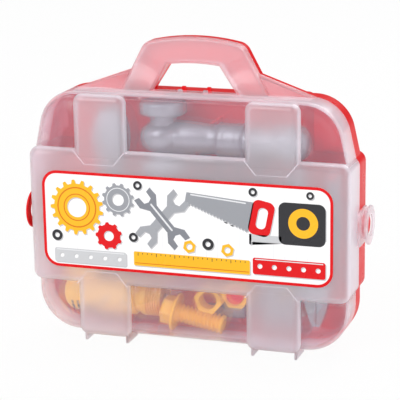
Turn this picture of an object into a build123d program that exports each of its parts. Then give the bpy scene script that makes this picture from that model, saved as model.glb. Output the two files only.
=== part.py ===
from build123d import *

import os
from math import atan2, cos, degrees, radians, sin, sqrt

os.makedirs("parts", exist_ok=True)

# Toy tool box: a carrying case of two moulded shells that hinge along the bottom, with a set of
# toy tools inside. X is the width, the clear front faces -Y, Z is up and the feet stand on Z = 0.

# Case: sizes of the two shells
front_depth = 38.0
back_depth = 30.0
zone_step = 8.0
wall = 2.0
parting_gap = 0.1
overrun = 1.0

body_bottom = 8.0
body_top = 226.5
upper_half = 142.0
case_flare = 1.3
shoulder_draw = 11.0
lower_corner = 38.0
upper_corner = 35.0
zone_round = 7.0

belt_proud = 3.5
belt_bottom = 54.6
belt_top = 176.9
belt_corner = 9.0
belt_round = 8.0

pad_inner = 53.7
pad_outer = 102.0
pad_lap = 12.0
pad_drop = 1.5
pad_set = 0.5
pad_corner = 8.0
pad_round = 7.0

# Carrying handle and the webs that brace it
handle_top = 274.0
handle_corner_half = 44.6
handle_corner_z = 268.6
handle_foot_half = 67.0
handle_front = 8.5
handle_back = 10.0
handle_outer_corner = 12.0
handle_round = 3.0
hole_top = 251.6
hole_corner_half = 23.4
hole_corner_z = 250.0
hole_foot_half = 38.6
hole_corner = 8.0
web_leg_z = 244.4
web_tip_half = 108.3
web_thick = 2.5
web_lip = 5.0

# Feet, hinge along the bottom and catches under the handle
foot_thick = 2.2
foot_start = 7.0
foot_inset = 4.6
foot_stagger = 4.5
axis_height = 3.75
knuckle_radius = 3.2
knuckle_length = 7.2
knuckle_gap = 0.4
hinge_centre = 36.0
pin_radius = 1.5
running_fit = 0.05
catch_half = 11.5
catch_width = 4.6
catch_length = 3.8
catch_height = 3.4
catch_back = 11.0
lug_height = 2.6

# Side clips, one moulded on each shell, and the bosses that they snap over
clip_height = 31.0
clip_root = 9.0
clip_reach = 21.0
clip_thick = 2.0
clip_gap = 0.2
clip_corner = 3.0
ring_radius = 17.2
ring_bore = 9.6
ring_thick = 1.6
ring_offset = 7.2
ring_depth = 12.0
ring_height = 114.0
hub_radius = 12.4
boss_radius = 8.6
boss_gap = 0.3
slot_drop = 4.4

# Printed label on the belt
label_margin = 13.5
label_bottom = 69.7
label_top = 157.4
label_corner = 14.0
label_thick = 0.3

# Rests moulded inside the back shell
rib_thick = 3.0
rest_fit = 0.25
shelf_thick = 3.0

# Hammer
hammer_x = -29.0
hammer_depth = -4.0
hammer_height = 185.5
hammer_face_radius = 21.5
hammer_half = 27.5
hammer_face_thick = 10.0
hammer_neck_radius = 13.0
hammer_barrel_half = 14.5
hammer_edge = 1.5
shaft_radius = 14.0
shaft_end = 22.0
ferrule_radius = 14.8
ferrule_end = 46.0
tenon_radius = 8.0
tenon_length = 16.0
grip_waist = 12.8
grip_radius = 17.5
grip_end = 104.0

# Drill, lying with its grip up
drill_depth = 2.0
drill_height = 35.0
barrel_radius = 17.5
barrel_rear = -128.0
barrel_nose = -58.0
barrel_round = 12.0
drill_wall = 2.0
handgrip_rear = -123.0
handgrip_front = -93.0
handgrip_lean = 9.0
handgrip_top = 126.0
handgrip_half = 12.0
handgrip_corner = 5.0
handgrip_round = 6.0
trigger_height = 70.0
trigger_tall = 18.0
trigger_half = 4.0
trigger_reach = 9.0
trigger_stem = 12.0
trigger_travel = 4.0
slide_fit = 0.3
chuck_end = -33.5
chuck_radius = 17.0
chuck_waist = 14.5
chuck_grooves = 18
chuck_groove_radius = 0.9
chuck_stem = 6.0
chuck_stem_length = 9.0
chuck_gap = 0.3
bit_socket = 4.2
bit_radius = 7.5
bit_shank_radius = 4.0
bit_shank = 10.0
bit_depth = 5.5
bit_height = 28.5
bit_left = 6.0
bit_right = 52.0
bit_tip = 8.0

# Screwdriver
driver_x = -78.0
driver_depth = -4.0
driver_shoulder = 137.0
driver_top = 212.0
driver_radius = 16.0
driver_waist = 11.5
driver_flutes = 8
driver_flute_radius = 2.6
blade_radius = 4.0
blade_bottom = 66.0
blade_tip_thick = 1.6
blade_tip_length = 14.0
blade_socket = 20.0

# Pliers, hanging with the jaws down
pliers_margin = 32.0
pliers_depth = -6.0
pliers_thick = 10.0
pliers_pivot = 72.0
pliers_tip = 25.0
pliers_top = 166.0
pliers_disc = 13.0
jaw_tip_half = 3.0
jaw_belly = 10.5
jaw_root_half = 11.5
jaw_gap = 0.3
jaw_teeth = 8
tooth_depth = 0.8
arm_width = 11.0
arm_spread = 15.0
arm_bow = 118.0
rivet_radius = 3.0
rivet_head = 5.0
rivet_cap = 1.0
hang_hole = 3.2
peg_small = 2.9

# Adjustable wrench, hanging with the head down
wrench_x = 76.0
wrench_depth = 12.0
wrench_thick = 10.0
wrench_top = 160.0
wrench_hang = 152.0
wrench_head_z = 52.0
wrench_head_radius = 21.0
wrench_jaw_bottom = 15.0
wrench_handle_half = 9.0
wrench_neck_half = 7.0
wrench_mouth_z = 34.0
fixed_jaw_width = 12.0
moving_jaw_width = 11.0
moving_jaw_thick = 8.0
rack_height = 7.0
rack_thick = 4.6
rack_web = 2.4
rack_rise = 3.0
worm_radius = 4.4
worm_half = 5.0
worm_journal = 1.5
worm_grooves = 16
worm_groove_radius = 0.5
jaw_travel = 8.0

# Bolts, ring nuts and slotted screws
hex_radius = 13.0
hex_height = 11.0
flange_radius = 17.0
flange_thick = 2.5
shank_radius = 8.7
shank_length = 44.0
shank_bore = 5.5
shank_bore_depth = 20.0
loose_bolt_x = -17.0
loose_bolt_depth = -10.4
bolt_rack_z = 104.0
bolt_rack_depth = 4.0
bolt_first_x = -28.0
bolt_pitch = 36.0
nut_apothem = 11.5
nut_thick = 12.0
nut_bore = 8.0
nut_corner = 2.0
loose_nut_along = 27.0
peg_nut_back = -2.0
low_nut_x = 38.0
low_nut_z = 48.0
side_nut_x = -58.0
side_nut_low = 88.0
side_nut_high = 121.0
screw_head_radius = 8.0
screw_head_height = 7.0
screw_radius = 4.5
screw_length = 36.0
screw_slot = 2.4
screw_slot_depth = 3.0
screw_rack_z = 161.0
screw_rack_depth = 2.0
screw_first_x = 5.0
screw_pitch = 17.5
screw_count = 4

# Perforated strips, stacked on two pegs
strip_length = 100.0
strip_width = 20.0
strip_thick = 3.0
strip_gap = 0.1
strip_holes = 5
strip_pitch = 19.0
strip_hole_radius = 3.1
strip_corner = 4.0
strip_x = 8.0
strip_z = 136.0

# Places worked out from the sizes
lower_half = upper_half + case_flare
shoulder_half = upper_half - shoulder_draw
belt_half = upper_half + belt_proud
label_width = 2 * (belt_half - label_margin)
pliers_x = upper_half - pliers_margin
parting_y = (front_depth + label_thick - back_depth) / 2
front_zone = front_depth - zone_step
back_zone = back_depth - zone_step
floor_inside = body_bottom + wall
parting = Plane.XZ.offset(-parting_y)
hinge_line = Axis((0, parting_y, axis_height), (1, 0, 0))
feet_at = (pad_inner + foot_inset, pad_outer - foot_inset)


def at_depth(depth):
    """Upright plane behind the parting plane by the depth; in front of it where that is negative."""
    return Plane.XZ.offset(-(parting_y + depth))


def save(part, name):
    """Label one finished piece and write its file."""
    part.label = name
    export_step(part, f"parts/{name}.step")


def rounded_block(outline, reach, rounding):
    """Prism on an outline, its far edges rounded. It reaches to the front, or back if negative."""
    with BuildPart() as block:
        extrude(outline, amount=reach)
        far_face = block.faces().sort_by(Axis.Y)[0 if reach > 0 else -1]
        fillet(far_face.edges(), radius=rounding)
    return block.part


def body_outline(inset):
    """Outline of the case body without its belt."""
    with BuildSketch(parting) as outline:
        with BuildLine():
            Polyline(
                (-lower_half, body_bottom),
                (lower_half, body_bottom),
                (upper_half, belt_top),
                (shoulder_half, body_top),
                (-shoulder_half, body_top),
                (-upper_half, belt_top),
                close=True,
            )
        make_face()
        fillet(outline.vertices().group_by(Axis.Y)[0], radius=lower_corner)
        fillet(outline.vertices().group_by(Axis.Y)[-1], radius=upper_corner)
        if inset > 0:
            offset(amount=-inset)
    return outline.sketch


def belt_outline(inset):
    """Outline of the raised belt round the middle of the case."""
    with BuildSketch(parting) as outline:
        with Locations((0, (belt_bottom + belt_top) / 2)):
            RectangleRounded(2 * belt_half, belt_top - belt_bottom, belt_corner)
        if inset > 0:
            offset(amount=-inset)
    return outline.sketch


def pad_outline(side, low, high, inset):
    """Outline of one raised pad above or below the belt, on the side given by its sign."""
    with BuildSketch(parting) as outline:
        with Locations((side * (pad_inner + pad_outer) / 2, (low + high) / 2)):
            RectangleRounded(pad_outer - pad_inner, high - low, pad_corner)
        if inset > 0:
            offset(amount=-inset)
    return outline.sketch


def handle_outline(inset):
    """Outline of the carrying handle: an arch whose legs run down into the case."""
    root = body_top - handle_outer_corner
    lean = (handle_foot_half - handle_corner_half) / (handle_corner_z - body_top)
    hole_lean = (hole_foot_half - hole_corner_half) / (hole_corner_z - body_top)
    outer_root = handle_foot_half + lean * (body_top - root)
    inner_root = hole_foot_half + hole_lean * (body_top - root)
    with BuildSketch(parting) as outline:
        with BuildLine():
            Polyline(
                (-handle_corner_half, handle_corner_z),
                (-outer_root, root),
                (-inner_root, root),
                (-hole_corner_half, hole_corner_z),
            )
            ThreePointArc(
                (-hole_corner_half, hole_corner_z), (0, hole_top), (hole_corner_half, hole_corner_z)
            )
            Polyline(
                (hole_corner_half, hole_corner_z),
                (inner_root, root),
                (outer_root, root),
                (handle_corner_half, handle_corner_z),
            )
            ThreePointArc(
                (handle_corner_half, handle_corner_z),
                (0, handle_top),
                (-handle_corner_half, handle_corner_z),
            )
        make_face()
        corners = outline.vertices().group_by(Axis.Y)
        fillet(corners[-1], radius=handle_outer_corner)
        fillet(corners[-2], radius=hole_corner)
        if inset > 0:
            offset(amount=-inset)
    return outline.sketch


def case_form(side, depth, handle_depth, inset):
    """Outer form of one shell, or its cavity when drawn in by the wall; side is 1 in front."""
    zone = depth - zone_step - inset
    full = depth - inset
    with BuildPart() as form:
        add(rounded_block(body_outline(inset), side * zone, zone_round - inset))
        add(rounded_block(belt_outline(inset), side * full, belt_round - inset))
        for x_side in (-1, 1):
            lower_pad = pad_outline(x_side, body_bottom - pad_drop, belt_bottom + pad_lap, inset)
            add(rounded_block(lower_pad, side * full, pad_round - inset))
            upper_pad = pad_outline(x_side, belt_top - pad_lap, body_top - pad_set, inset)
            add(rounded_block(upper_pad, side * full, pad_round - inset))
        add(rounded_block(handle_outline(inset), side * (handle_depth - inset), handle_round - inset))
    return form.part


def handle_web(x_side):
    """Outline of the web between a handle leg and the shoulder of the case, and of its lip."""
    lean = (handle_foot_half - handle_corner_half) / (handle_corner_z - body_top)
    leg_at_web = handle_foot_half - lean * (web_leg_z - body_top) - wall / 2
    seat = body_top - wall / 2
    with BuildSketch(parting) as web:
        with BuildLine():
            Polyline(
                (x_side * (handle_foot_half - wall / 2), seat),
                (x_side * leg_at_web, web_leg_z),
                (x_side * web_tip_half, body_top - pad_set),
                (x_side * web_tip_half, seat),
                close=True,
            )
        make_face()
    with BuildSketch(parting) as lip:
        with BuildLine():
            Polyline(
                (x_side * leg_at_web, web_leg_z - wall),
                (x_side * leg_at_web, web_leg_z),
                (x_side * web_tip_half, body_top - pad_set),
                (x_side * (web_tip_half - web_lip), body_top - pad_set),
                close=True,
            )
        make_face()
    return web.sketch, lip.sketch


def hinge_knuckles(side, centre):
    """Knuckle solids of one hinge: the middle one in front (side 1), the two outer ones behind."""
    step = knuckle_length + knuckle_gap
    places = [centre] if side > 0 else [centre - step, centre + step]
    bore = pin_radius + (running_fit if side > 0 else 0)
    shift = side * parting_gap
    with BuildPart() as knuckles:
        for x in places:
            with BuildSketch(Plane.YZ.offset(x - knuckle_length / 2)):
                with Locations((parting_y, axis_height)):
                    Circle(knuckle_radius)
                with Locations((parting_y - shift, axis_height)):
                    Rectangle(
                        knuckle_radius - parting_gap,
                        floor_inside - wall / 2 - axis_height,
                        align=(Align.MAX if side > 0 else Align.MIN, Align.MIN),
                    )
                with Locations((parting_y, axis_height)):
                    Circle(bore, mode=Mode.SUBTRACT)
            extrude(amount=knuckle_length)
    return knuckles.part


def feet(side, depth, places):
    """Four thin ribs under the lower pads, on which the case stands."""
    far = side * (depth - pad_round)
    near = side * foot_start
    with BuildPart() as ribs:
        for x in places:
            for x_side in (-1, 1):
                with BuildSketch(Plane.YZ.offset(x_side * x)):
                    with Locations((parting_y - (near + far) / 2, 0)):
                        Rectangle(
                            abs(far - near),
                            body_bottom - pad_drop + wall / 2,
                            align=(Align.CENTER, Align.MIN),
                        )
                extrude(amount=foot_thick / 2, both=True)
    return ribs.part


def clip_boss(x_side, depth):
    """Round boss on a side wall, which the clip of the other shell snaps over."""
    crown = belt_half + ring_offset - ring_thick - boss_gap
    root = belt_half - wall / 2
    with BuildPart() as boss:
        with BuildSketch(Plane.YZ.offset(x_side * root)):
            with Locations((parting_y + depth, ring_height)):
                Circle(boss_radius)
        extrude(amount=x_side * (crown - root))
        crown_face = boss.faces().sort_by(Axis.X)[-1 if x_side > 0 else 0]
        fillet(crown_face.edges(), radius=wall / 2)
    return boss.part


def cradle(x, depth, height, radius, low, high, wall_depth):
    """Upright rib on the back wall with a round seat for a bar that runs along X."""
    with BuildPart() as rib:
        with BuildSketch(Plane.YZ.offset(x)):
            with Locations((parting_y + depth, low)):
                Rectangle(
                    wall_depth - depth + wall / 2, high - low, align=(Align.MIN, Align.MIN)
                )
            with Locations((parting_y + depth, height)):
                Circle(radius + rest_fit, mode=Mode.SUBTRACT)
        extrude(amount=rib_thick / 2, both=True)
    return rib.part


def rack(places, depth, radius, front, top, side_margin):
    """Level shelf on the belt's back wall, with a slot open to the front at each place."""
    left = min(places) - side_margin
    right = max(places) + side_margin
    back = back_depth - wall / 2
    with BuildPart() as shelf:
        with BuildSketch(Plane.XY.offset(top - shelf_thick)):
            with Locations(((left + right) / 2, parting_y + (front + back) / 2)):
                Rectangle(right - left, back - front)
            for x in places:
                with Locations((x, parting_y + depth)):
                    Circle(radius + rest_fit, mode=Mode.SUBTRACT)
                with Locations((x, parting_y + depth)):
                    Rectangle(
                        2 * (radius + rest_fit),
                        depth - front + overrun,
                        align=(Align.CENTER, Align.MAX),
                        mode=Mode.SUBTRACT,
                    )
        extrude(amount=shelf_thick)
    return shelf.part


def peg(x, z, radius, front, wall_depth):
    """Round peg that stands out of the back wall."""
    with BuildPart() as pin:
        with BuildSketch(at_depth(wall_depth + wall / 2)):
            with Locations((x, z)):
                Circle(radius)
        extrude(amount=wall_depth + wall / 2 - front)
        chamfer(pin.faces().sort_by(Axis.Y)[0].edges(), length=wall / 4)
    return pin.part


# Places of the small parts, and the tilt of the bolt that lies on the floor of the case
bolt_places = [bolt_first_x + index * bolt_pitch for index in range(3)]
screw_places = [screw_first_x + index * screw_pitch for index in range(screw_count)]
strip_places = [(index - (strip_holes - 1) / 2) * strip_pitch for index in range(strip_holes)]
belt_wall = back_depth - wall
zone_wall = back_zone - wall
bolt_tilt = atan2(flange_radius - shank_radius, shank_length)
nut_pegs = [
    (low_nut_x, low_nut_z, belt_wall),
    (side_nut_x, side_nut_low, belt_wall),
    (side_nut_x, side_nut_high, belt_wall),
]
pliers_hang = (pliers_x + arm_spread, pliers_top - arm_width / 2)

# Rests moulded inside the back shell: cradles, racks and pegs, cut to the inside of its walls
with BuildPart() as rest_room:
    add(case_form(-1, back_depth, handle_back, wall / 2))
    extrude(body_outline(wall), amount=front_zone - wall)

with BuildPart() as rests:
    hammer_top = hammer_height + ferrule_radius
    for x, radius in ((shaft_end - 2 * rib_thick, shaft_radius), (ferrule_end + 2 * rib_thick, grip_waist)):
        low = hammer_height - ferrule_radius
        add(cradle(x, hammer_depth, hammer_height, radius, low, hammer_top, zone_wall))
    barrel_low = floor_inside - wall / 2
    add(
        cradle(
            handgrip_rear + 4 * rib_thick, drill_depth, drill_height, barrel_radius,
            barrel_low, drill_height, zone_wall,
        )
    )
    add(
        cradle(
            barrel_nose - 3 * rib_thick, drill_depth, drill_height, barrel_radius,
            barrel_low - pad_drop, drill_height + barrel_radius + wall, belt_wall,
        )
    )
    for x in (bit_left + bit_tip + 2 * rib_thick, bit_right - bit_shank - 2 * rib_thick):
        low = bit_height - bit_radius - 2 * wall
        add(cradle(x, bit_depth, bit_height, bit_radius, low, bit_height, zone_wall))
    add(
        rack(
            [driver_x], driver_depth, blade_radius, driver_depth - 2 * blade_radius,
            driver_shoulder, driver_radius - wall,
        )
    )
    add(rack(bolt_places, bolt_rack_depth, shank_radius, bolt_rack_depth - shank_radius,
             bolt_rack_z, shank_radius + 2 * wall))
    add(rack(screw_places, screw_rack_depth, screw_radius, screw_rack_depth - screw_radius,
             screw_rack_z, screw_radius + 2 * wall))
    for x, z, wall_depth in nut_pegs:
        add(peg(x, z, nut_bore - rest_fit, peg_nut_back - nut_thick - wall, wall_depth))
    strips_front = belt_wall - 4 * (strip_thick + strip_gap)
    for x in (strip_places[0], strip_places[-1]):
        add(peg(strip_x + x, strip_z, strip_hole_radius - rest_fit, strips_front - wall, belt_wall))
    add(peg(wrench_x, wrench_hang, peg_small, wrench_depth - wrench_thick / 2 - wall, belt_wall))
    add(peg(*pliers_hang, peg_small, pliers_depth - pliers_thick / 2 - wall, belt_wall))
    add(rest_room.part, mode=Mode.INTERSECT)

# Back shell: red moulding with the rear half of the handle, feet, knuckles, boss and all the rests
with BuildPart() as back_shell:
    add(case_form(-1, back_depth, handle_back, 0))
    add(case_form(-1, back_depth, handle_back, wall), mode=Mode.SUBTRACT)
    for x_side in (-1, 1):
        web, lip = handle_web(x_side)
        extrude(web, amount=-web_thick)
        extrude(lip, amount=-web_lip)
        add(hinge_knuckles(-1, x_side * hinge_centre))
        with BuildSketch(Plane.XY.offset(body_top - wall / 2)):
            with Locations((x_side * catch_half, parting_y)):
                Rectangle(catch_width, catch_length, align=(Align.CENTER, Align.MIN))
        extrude(amount=catch_height + wall / 2, taper=degrees(atan2(wall, 3 * catch_height)))
    add(feet(-1, back_depth, (feet_at[0] + foot_stagger, feet_at[1] - foot_stagger)))
    add(clip_boss(1, ring_depth))
    add(rests.part)
save(back_shell.part, "back_shell")

# Front shell: clear moulding with the front half of the handle, feet, knuckles, boss and lugs
with BuildPart() as front_shell:
    add(case_form(1, front_depth, handle_front, 0))
    add(case_form(1, front_depth, handle_front, wall), mode=Mode.SUBTRACT)
    for x_side in (-1, 1):
        web, lip = handle_web(x_side)
        extrude(web, amount=web_thick)
        extrude(lip, amount=web_lip)
        with BuildSketch(Plane.XY.offset(body_top - wall / 2)):
            with Locations((x_side * catch_half, parting_y - catch_back)):
                Rectangle(catch_width, catch_length, align=(Align.CENTER, Align.MIN))
        extrude(amount=lug_height + wall / 2, taper=degrees(atan2(wall, 3 * catch_height)))
    with BuildSketch(Plane.XY) as parting_slice:
        with Locations((0, parting_y)):
            Rectangle(4 * belt_half, parting_gap, align=(Align.CENTER, Align.MAX))
    extrude(amount=handle_top + overrun, mode=Mode.SUBTRACT)
    for x_side in (-1, 1):
        add(hinge_knuckles(1, x_side * hinge_centre))
    add(feet(1, front_depth, feet_at))
    add(clip_boss(-1, -ring_depth))
save(front_shell.part, "front_shell")

# Hinge pins, pressed in the back shell's knuckles and free in the front shell's
pin_length = 3 * knuckle_length + 2 * knuckle_gap
with BuildPart() as hinge_pins:
    for x_side in (-1, 1):
        with BuildSketch(Plane.YZ.offset(x_side * hinge_centre - pin_length / 2)):
            with Locations((parting_y, axis_height)):
                Circle(pin_radius)
        extrude(amount=pin_length)
save(hinge_pins.part, "hinge_pins")

# Side clip: a flat tongue that covers the other shell's wall, forked round its boss, and a ring
# that stands off on half a hub
tongue_face = belt_half + clip_gap
ring_face = belt_half + ring_offset - ring_thick
with BuildPart() as right_clip:
    with BuildSketch(Plane.YZ.offset(tongue_face)):
        with Locations((parting_y + (clip_reach - clip_root) / 2, ring_height)):
            RectangleRounded(clip_reach + clip_root, clip_height, clip_corner)
        with Locations((parting_y + ring_depth, ring_height)):
            Circle(ring_bore, mode=Mode.SUBTRACT)
        with BuildLine():
            Polyline(
                (parting_y + ring_depth, ring_height + ring_bore),
                (parting_y + ring_depth, ring_height - ring_bore),
                (parting_y + clip_reach + overrun, ring_height - ring_bore - slot_drop),
                (parting_y + clip_reach + overrun, ring_height + ring_bore),
                close=True,
            )
        make_face(mode=Mode.SUBTRACT)
    extrude(amount=clip_thick)
    with BuildSketch(Plane.YZ.offset(tongue_face + clip_thick)):
        with Locations((parting_y + ring_depth, ring_height)):
            Circle(hub_radius)
            Circle(ring_bore, mode=Mode.SUBTRACT)
            Rectangle(
                2 * ring_radius, 2 * ring_radius, align=(Align.MIN, Align.CENTER), mode=Mode.SUBTRACT
            )
    extrude(amount=ring_face - tongue_face - clip_thick)
    with BuildSketch(Plane.YZ.offset(ring_face)):
        with Locations((parting_y + ring_depth, ring_height)):
            Circle(ring_radius)
            Circle(ring_bore, mode=Mode.SUBTRACT)
    extrude(amount=ring_thick)
save(right_clip.part, "right_clip")

case_axis = Axis((0, parting_y, 0), (0, 0, 1))
with BuildPart() as left_clip:
    add(right_clip.part.rotate(case_axis, 180))
save(left_clip.part, "left_clip")

# Label: a thin printed sheet on the belt's front face
with BuildPart() as label_sheet:
    with BuildSketch(at_depth(-front_depth)):
        with Locations((0, (label_bottom + label_top) / 2)):
            RectangleRounded(label_width, label_top - label_bottom, label_corner)
    extrude(amount=label_thick)
save(label_sheet.part, "label_sheet")

# Hammer head: two round faces on necks, a barrel between them, and a socket sleeve for the handle
hammer_y = parting_y + hammer_depth
hammer_plane = Plane.XZ.offset(-hammer_y)
with BuildPart() as hammer_head:
    with BuildSketch(hammer_plane) as head_half:
        with BuildLine():
            Polyline(
                (hammer_x, hammer_height - hammer_half),
                (hammer_x + hammer_face_radius, hammer_height - hammer_half),
                (hammer_x + hammer_face_radius, hammer_height - hammer_half + hammer_face_thick),
                (hammer_x + hammer_neck_radius, hammer_height - hammer_half + hammer_face_thick),
                (hammer_x + hammer_neck_radius, hammer_height - hammer_barrel_half),
            )
            ThreePointArc(
                (hammer_x + hammer_neck_radius, hammer_height - hammer_barrel_half),
                (hammer_x + hammer_face_radius, hammer_height),
                (hammer_x + hammer_neck_radius, hammer_height + hammer_barrel_half),
            )
            Polyline(
                (hammer_x + hammer_neck_radius, hammer_height + hammer_barrel_half),
                (hammer_x + hammer_neck_radius, hammer_height + hammer_half - hammer_face_thick),
                (hammer_x + hammer_face_radius, hammer_height + hammer_half - hammer_face_thick),
                (hammer_x + hammer_face_radius, hammer_height + hammer_half),
                (hammer_x, hammer_height + hammer_half),
                (hammer_x, hammer_height - hammer_half),
            )
        make_face()
    revolve(axis=Axis((hammer_x, hammer_y, 0), (0, 0, 1)), revolution_arc=360)
    rims = hammer_head.edges().filter_by(GeomType.CIRCLE)
    fillet(
        [rim for rim in rims if abs(rim.radius - hammer_face_radius) < wall / 4],
        radius=hammer_edge,
    )
    with BuildSketch(Plane.YZ.offset(hammer_x)):
        with Locations((hammer_y, hammer_height)):
            Circle(shaft_radius)
    extrude(amount=shaft_end - hammer_x)
    with BuildSketch(Plane.YZ.offset(shaft_end)):
        with Locations((hammer_y, hammer_height)):
            Circle(tenon_radius + running_fit)
    extrude(amount=-tenon_length, mode=Mode.SUBTRACT)
save(hammer_head.part, "hammer_head")

# Hammer handle: tenon, ferrule and a grip that swells to a rounded end
grip_length = grip_end - ferrule_end
with BuildPart() as hammer_handle:
    with BuildSketch(hammer_plane) as handle_half:
        with BuildLine():
            Polyline(
                (grip_end, hammer_height),
                (shaft_end - tenon_length + rest_fit, hammer_height),
                (shaft_end - tenon_length + rest_fit, hammer_height + tenon_radius),
                (shaft_end, hammer_height + tenon_radius),
                (shaft_end, hammer_height + ferrule_radius),
                (ferrule_end, hammer_height + ferrule_radius),
                (ferrule_end, hammer_height + grip_waist),
                (ferrule_end + 4 * rib_thick, hammer_height + grip_waist),
            )
            Spline(
                (ferrule_end + 4 * rib_thick, hammer_height + grip_waist),
                (grip_end - grip_radius, hammer_height + grip_radius),
                (grip_end, hammer_height),
                tangents=((1, 0), (0, -1)),
            )
        make_face()
    revolve(axis=Axis((0, hammer_y, hammer_height), (1, 0, 0)), revolution_arc=360)
    rims = hammer_handle.edges().filter_by(GeomType.CIRCLE)
    fillet(
        [rim for rim in rims if abs(rim.radius - ferrule_radius) < wall / 8],
        radius=wall / 2,
    )
save(hammer_handle.part, "hammer_handle")

# Drill body: a round barrel and a leaning handgrip, split along the middle into two thin shells
drill_y = parting_y + drill_depth
drill_plane = Plane.XZ.offset(-drill_y)
drill_axis = Axis((0, drill_y, drill_height), (1, 0, 0))
grip_root = drill_height + barrel_radius - drill_wall
lean_run = handgrip_lean / (handgrip_top - grip_root)


def barrel_solid(inset, side):
    """Half of the round barrel, or of its hollow; side is 1 for the front half."""
    radius = barrel_radius - inset
    rear = barrel_rear + inset
    nose = barrel_nose - 2 * inset
    rounding = barrel_round - inset
    with BuildPart() as barrel:
        with BuildSketch(drill_plane) as half:
            with BuildLine():
                Polyline(
                    (rear, drill_height),
                    (nose, drill_height),
                    (nose, drill_height + radius - wall),
                    (nose - wall, drill_height + radius),
                    (rear + rounding, drill_height + radius),
                )
                RadiusArc(
                    (rear + rounding, drill_height + radius),
                    (rear, drill_height + radius - rounding),
                    -rounding,
                )
                Line((rear, drill_height + radius - rounding), (rear, drill_height))
            make_face()
        revolve(axis=drill_axis, revolution_arc=side * 180)
    return barrel.part


def grip_solid(inset, side):
    """Half of the handgrip, or of its hollow."""
    with BuildSketch(drill_plane) as outline:
        with BuildLine():
            Polyline(
                (handgrip_rear, grip_root),
                (handgrip_front, grip_root),
                (handgrip_front - handgrip_lean, handgrip_top),
                (handgrip_rear - handgrip_lean, handgrip_top),
                close=True,
            )
        make_face()
        fillet(outline.vertices().group_by(Axis.Y)[-1], radius=handgrip_corner + handgrip_round)
        if inset > 0:
            offset(amount=-inset)
    return rounded_block(outline.sketch, side * (handgrip_half - inset), handgrip_round - inset)


def drill_half(side):
    """One moulded half of the drill body, with its share of the spindle bore and trigger slot."""
    with BuildPart() as half:
        add(barrel_solid(0, side))
        add(grip_solid(0, side))
        add(barrel_solid(drill_wall, side), mode=Mode.SUBTRACT)
        add(grip_solid(drill_wall, side), mode=Mode.SUBTRACT)
        with BuildSketch(Plane.YZ.offset(barrel_nose + overrun)):
            with Locations((drill_y, drill_height)):
                Circle(chuck_stem + running_fit)
        extrude(amount=-6 * drill_wall, mode=Mode.SUBTRACT)
        slot_front = handgrip_front + overrun
        with BuildSketch(Plane.YZ.offset(slot_front)):
            with Locations((drill_y, trigger_height)):
                Rectangle(2 * (trigger_half + slide_fit), trigger_tall + 2 * slide_fit)
        extrude(amount=-handgrip_lean - trigger_stem, mode=Mode.SUBTRACT)
    return half.part


for side, name in ((1, "drill_front_half"), (-1, "drill_back_half")):
    save(drill_half(side), name)

# Trigger: a bowed finger piece on a stem that slides into the handgrip
trigger_root = handgrip_front - lean_run * (trigger_height - grip_root)
with BuildPart() as drill_trigger:
    with BuildSketch(drill_plane) as trigger_form:
        with BuildLine():
            Line(
                (trigger_root - trigger_stem, trigger_height - trigger_tall / 2),
                (trigger_root + trigger_reach, trigger_height - trigger_tall / 2),
            )
            ThreePointArc(
                (trigger_root + trigger_reach, trigger_height - trigger_tall / 2),
                (trigger_root + trigger_reach - wall, trigger_height),
                (trigger_root + trigger_reach + wall, trigger_height + trigger_tall / 2),
            )
            Polyline(
                (trigger_root + trigger_reach + wall, trigger_height + trigger_tall / 2),
                (trigger_root - trigger_stem, trigger_height + trigger_tall / 2),
                (trigger_root - trigger_stem, trigger_height - trigger_tall / 2),
            )
        make_face()
    extrude(amount=trigger_half, both=True)
    front_edges = drill_trigger.faces().sort_by(Axis.X)[-1].edges()
    fillet(front_edges.filter_by(Axis.Z, reverse=True), radius=wall / 2)
save(drill_trigger.part, "drill_trigger")

# Chuck: a fluted collar on a stem, with a hexagonal socket for a bit
with BuildPart() as drill_chuck:
    collar_start = barrel_nose + chuck_gap
    with BuildSketch(drill_plane) as collar_half:
        with BuildLine():
            Polyline(
                (collar_start - chuck_stem_length, drill_height),
                (chuck_end, drill_height),
                (chuck_end, drill_height + chuck_waist),
                (chuck_end - wall, drill_height + chuck_radius),
                (collar_start + 3 * wall, drill_height + chuck_radius),
                (collar_start + 2 * wall, drill_height + chuck_waist),
                (collar_start, drill_height + chuck_waist),
                (collar_start, drill_height + chuck_stem),
                (collar_start - chuck_stem_length, drill_height + chuck_stem),
                close=True,
            )
        make_face()
    revolve(axis=drill_axis, revolution_arc=360)
    with BuildSketch(Plane.YZ.offset(chuck_end + overrun)):
        with Locations((drill_y, drill_height)):
            with PolarLocations(chuck_radius, chuck_grooves):
                Circle(chuck_groove_radius)
    extrude(amount=collar_start + 4 * wall - chuck_end - overrun, mode=Mode.SUBTRACT)
    with BuildSketch(Plane.YZ.offset(chuck_end)):
        with Locations((drill_y, drill_height)):
            RegularPolygon(bit_socket, 6)
    extrude(amount=-(chuck_end - barrel_nose) / 2, mode=Mode.SUBTRACT)
save(drill_chuck.part, "drill_chuck")

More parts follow.
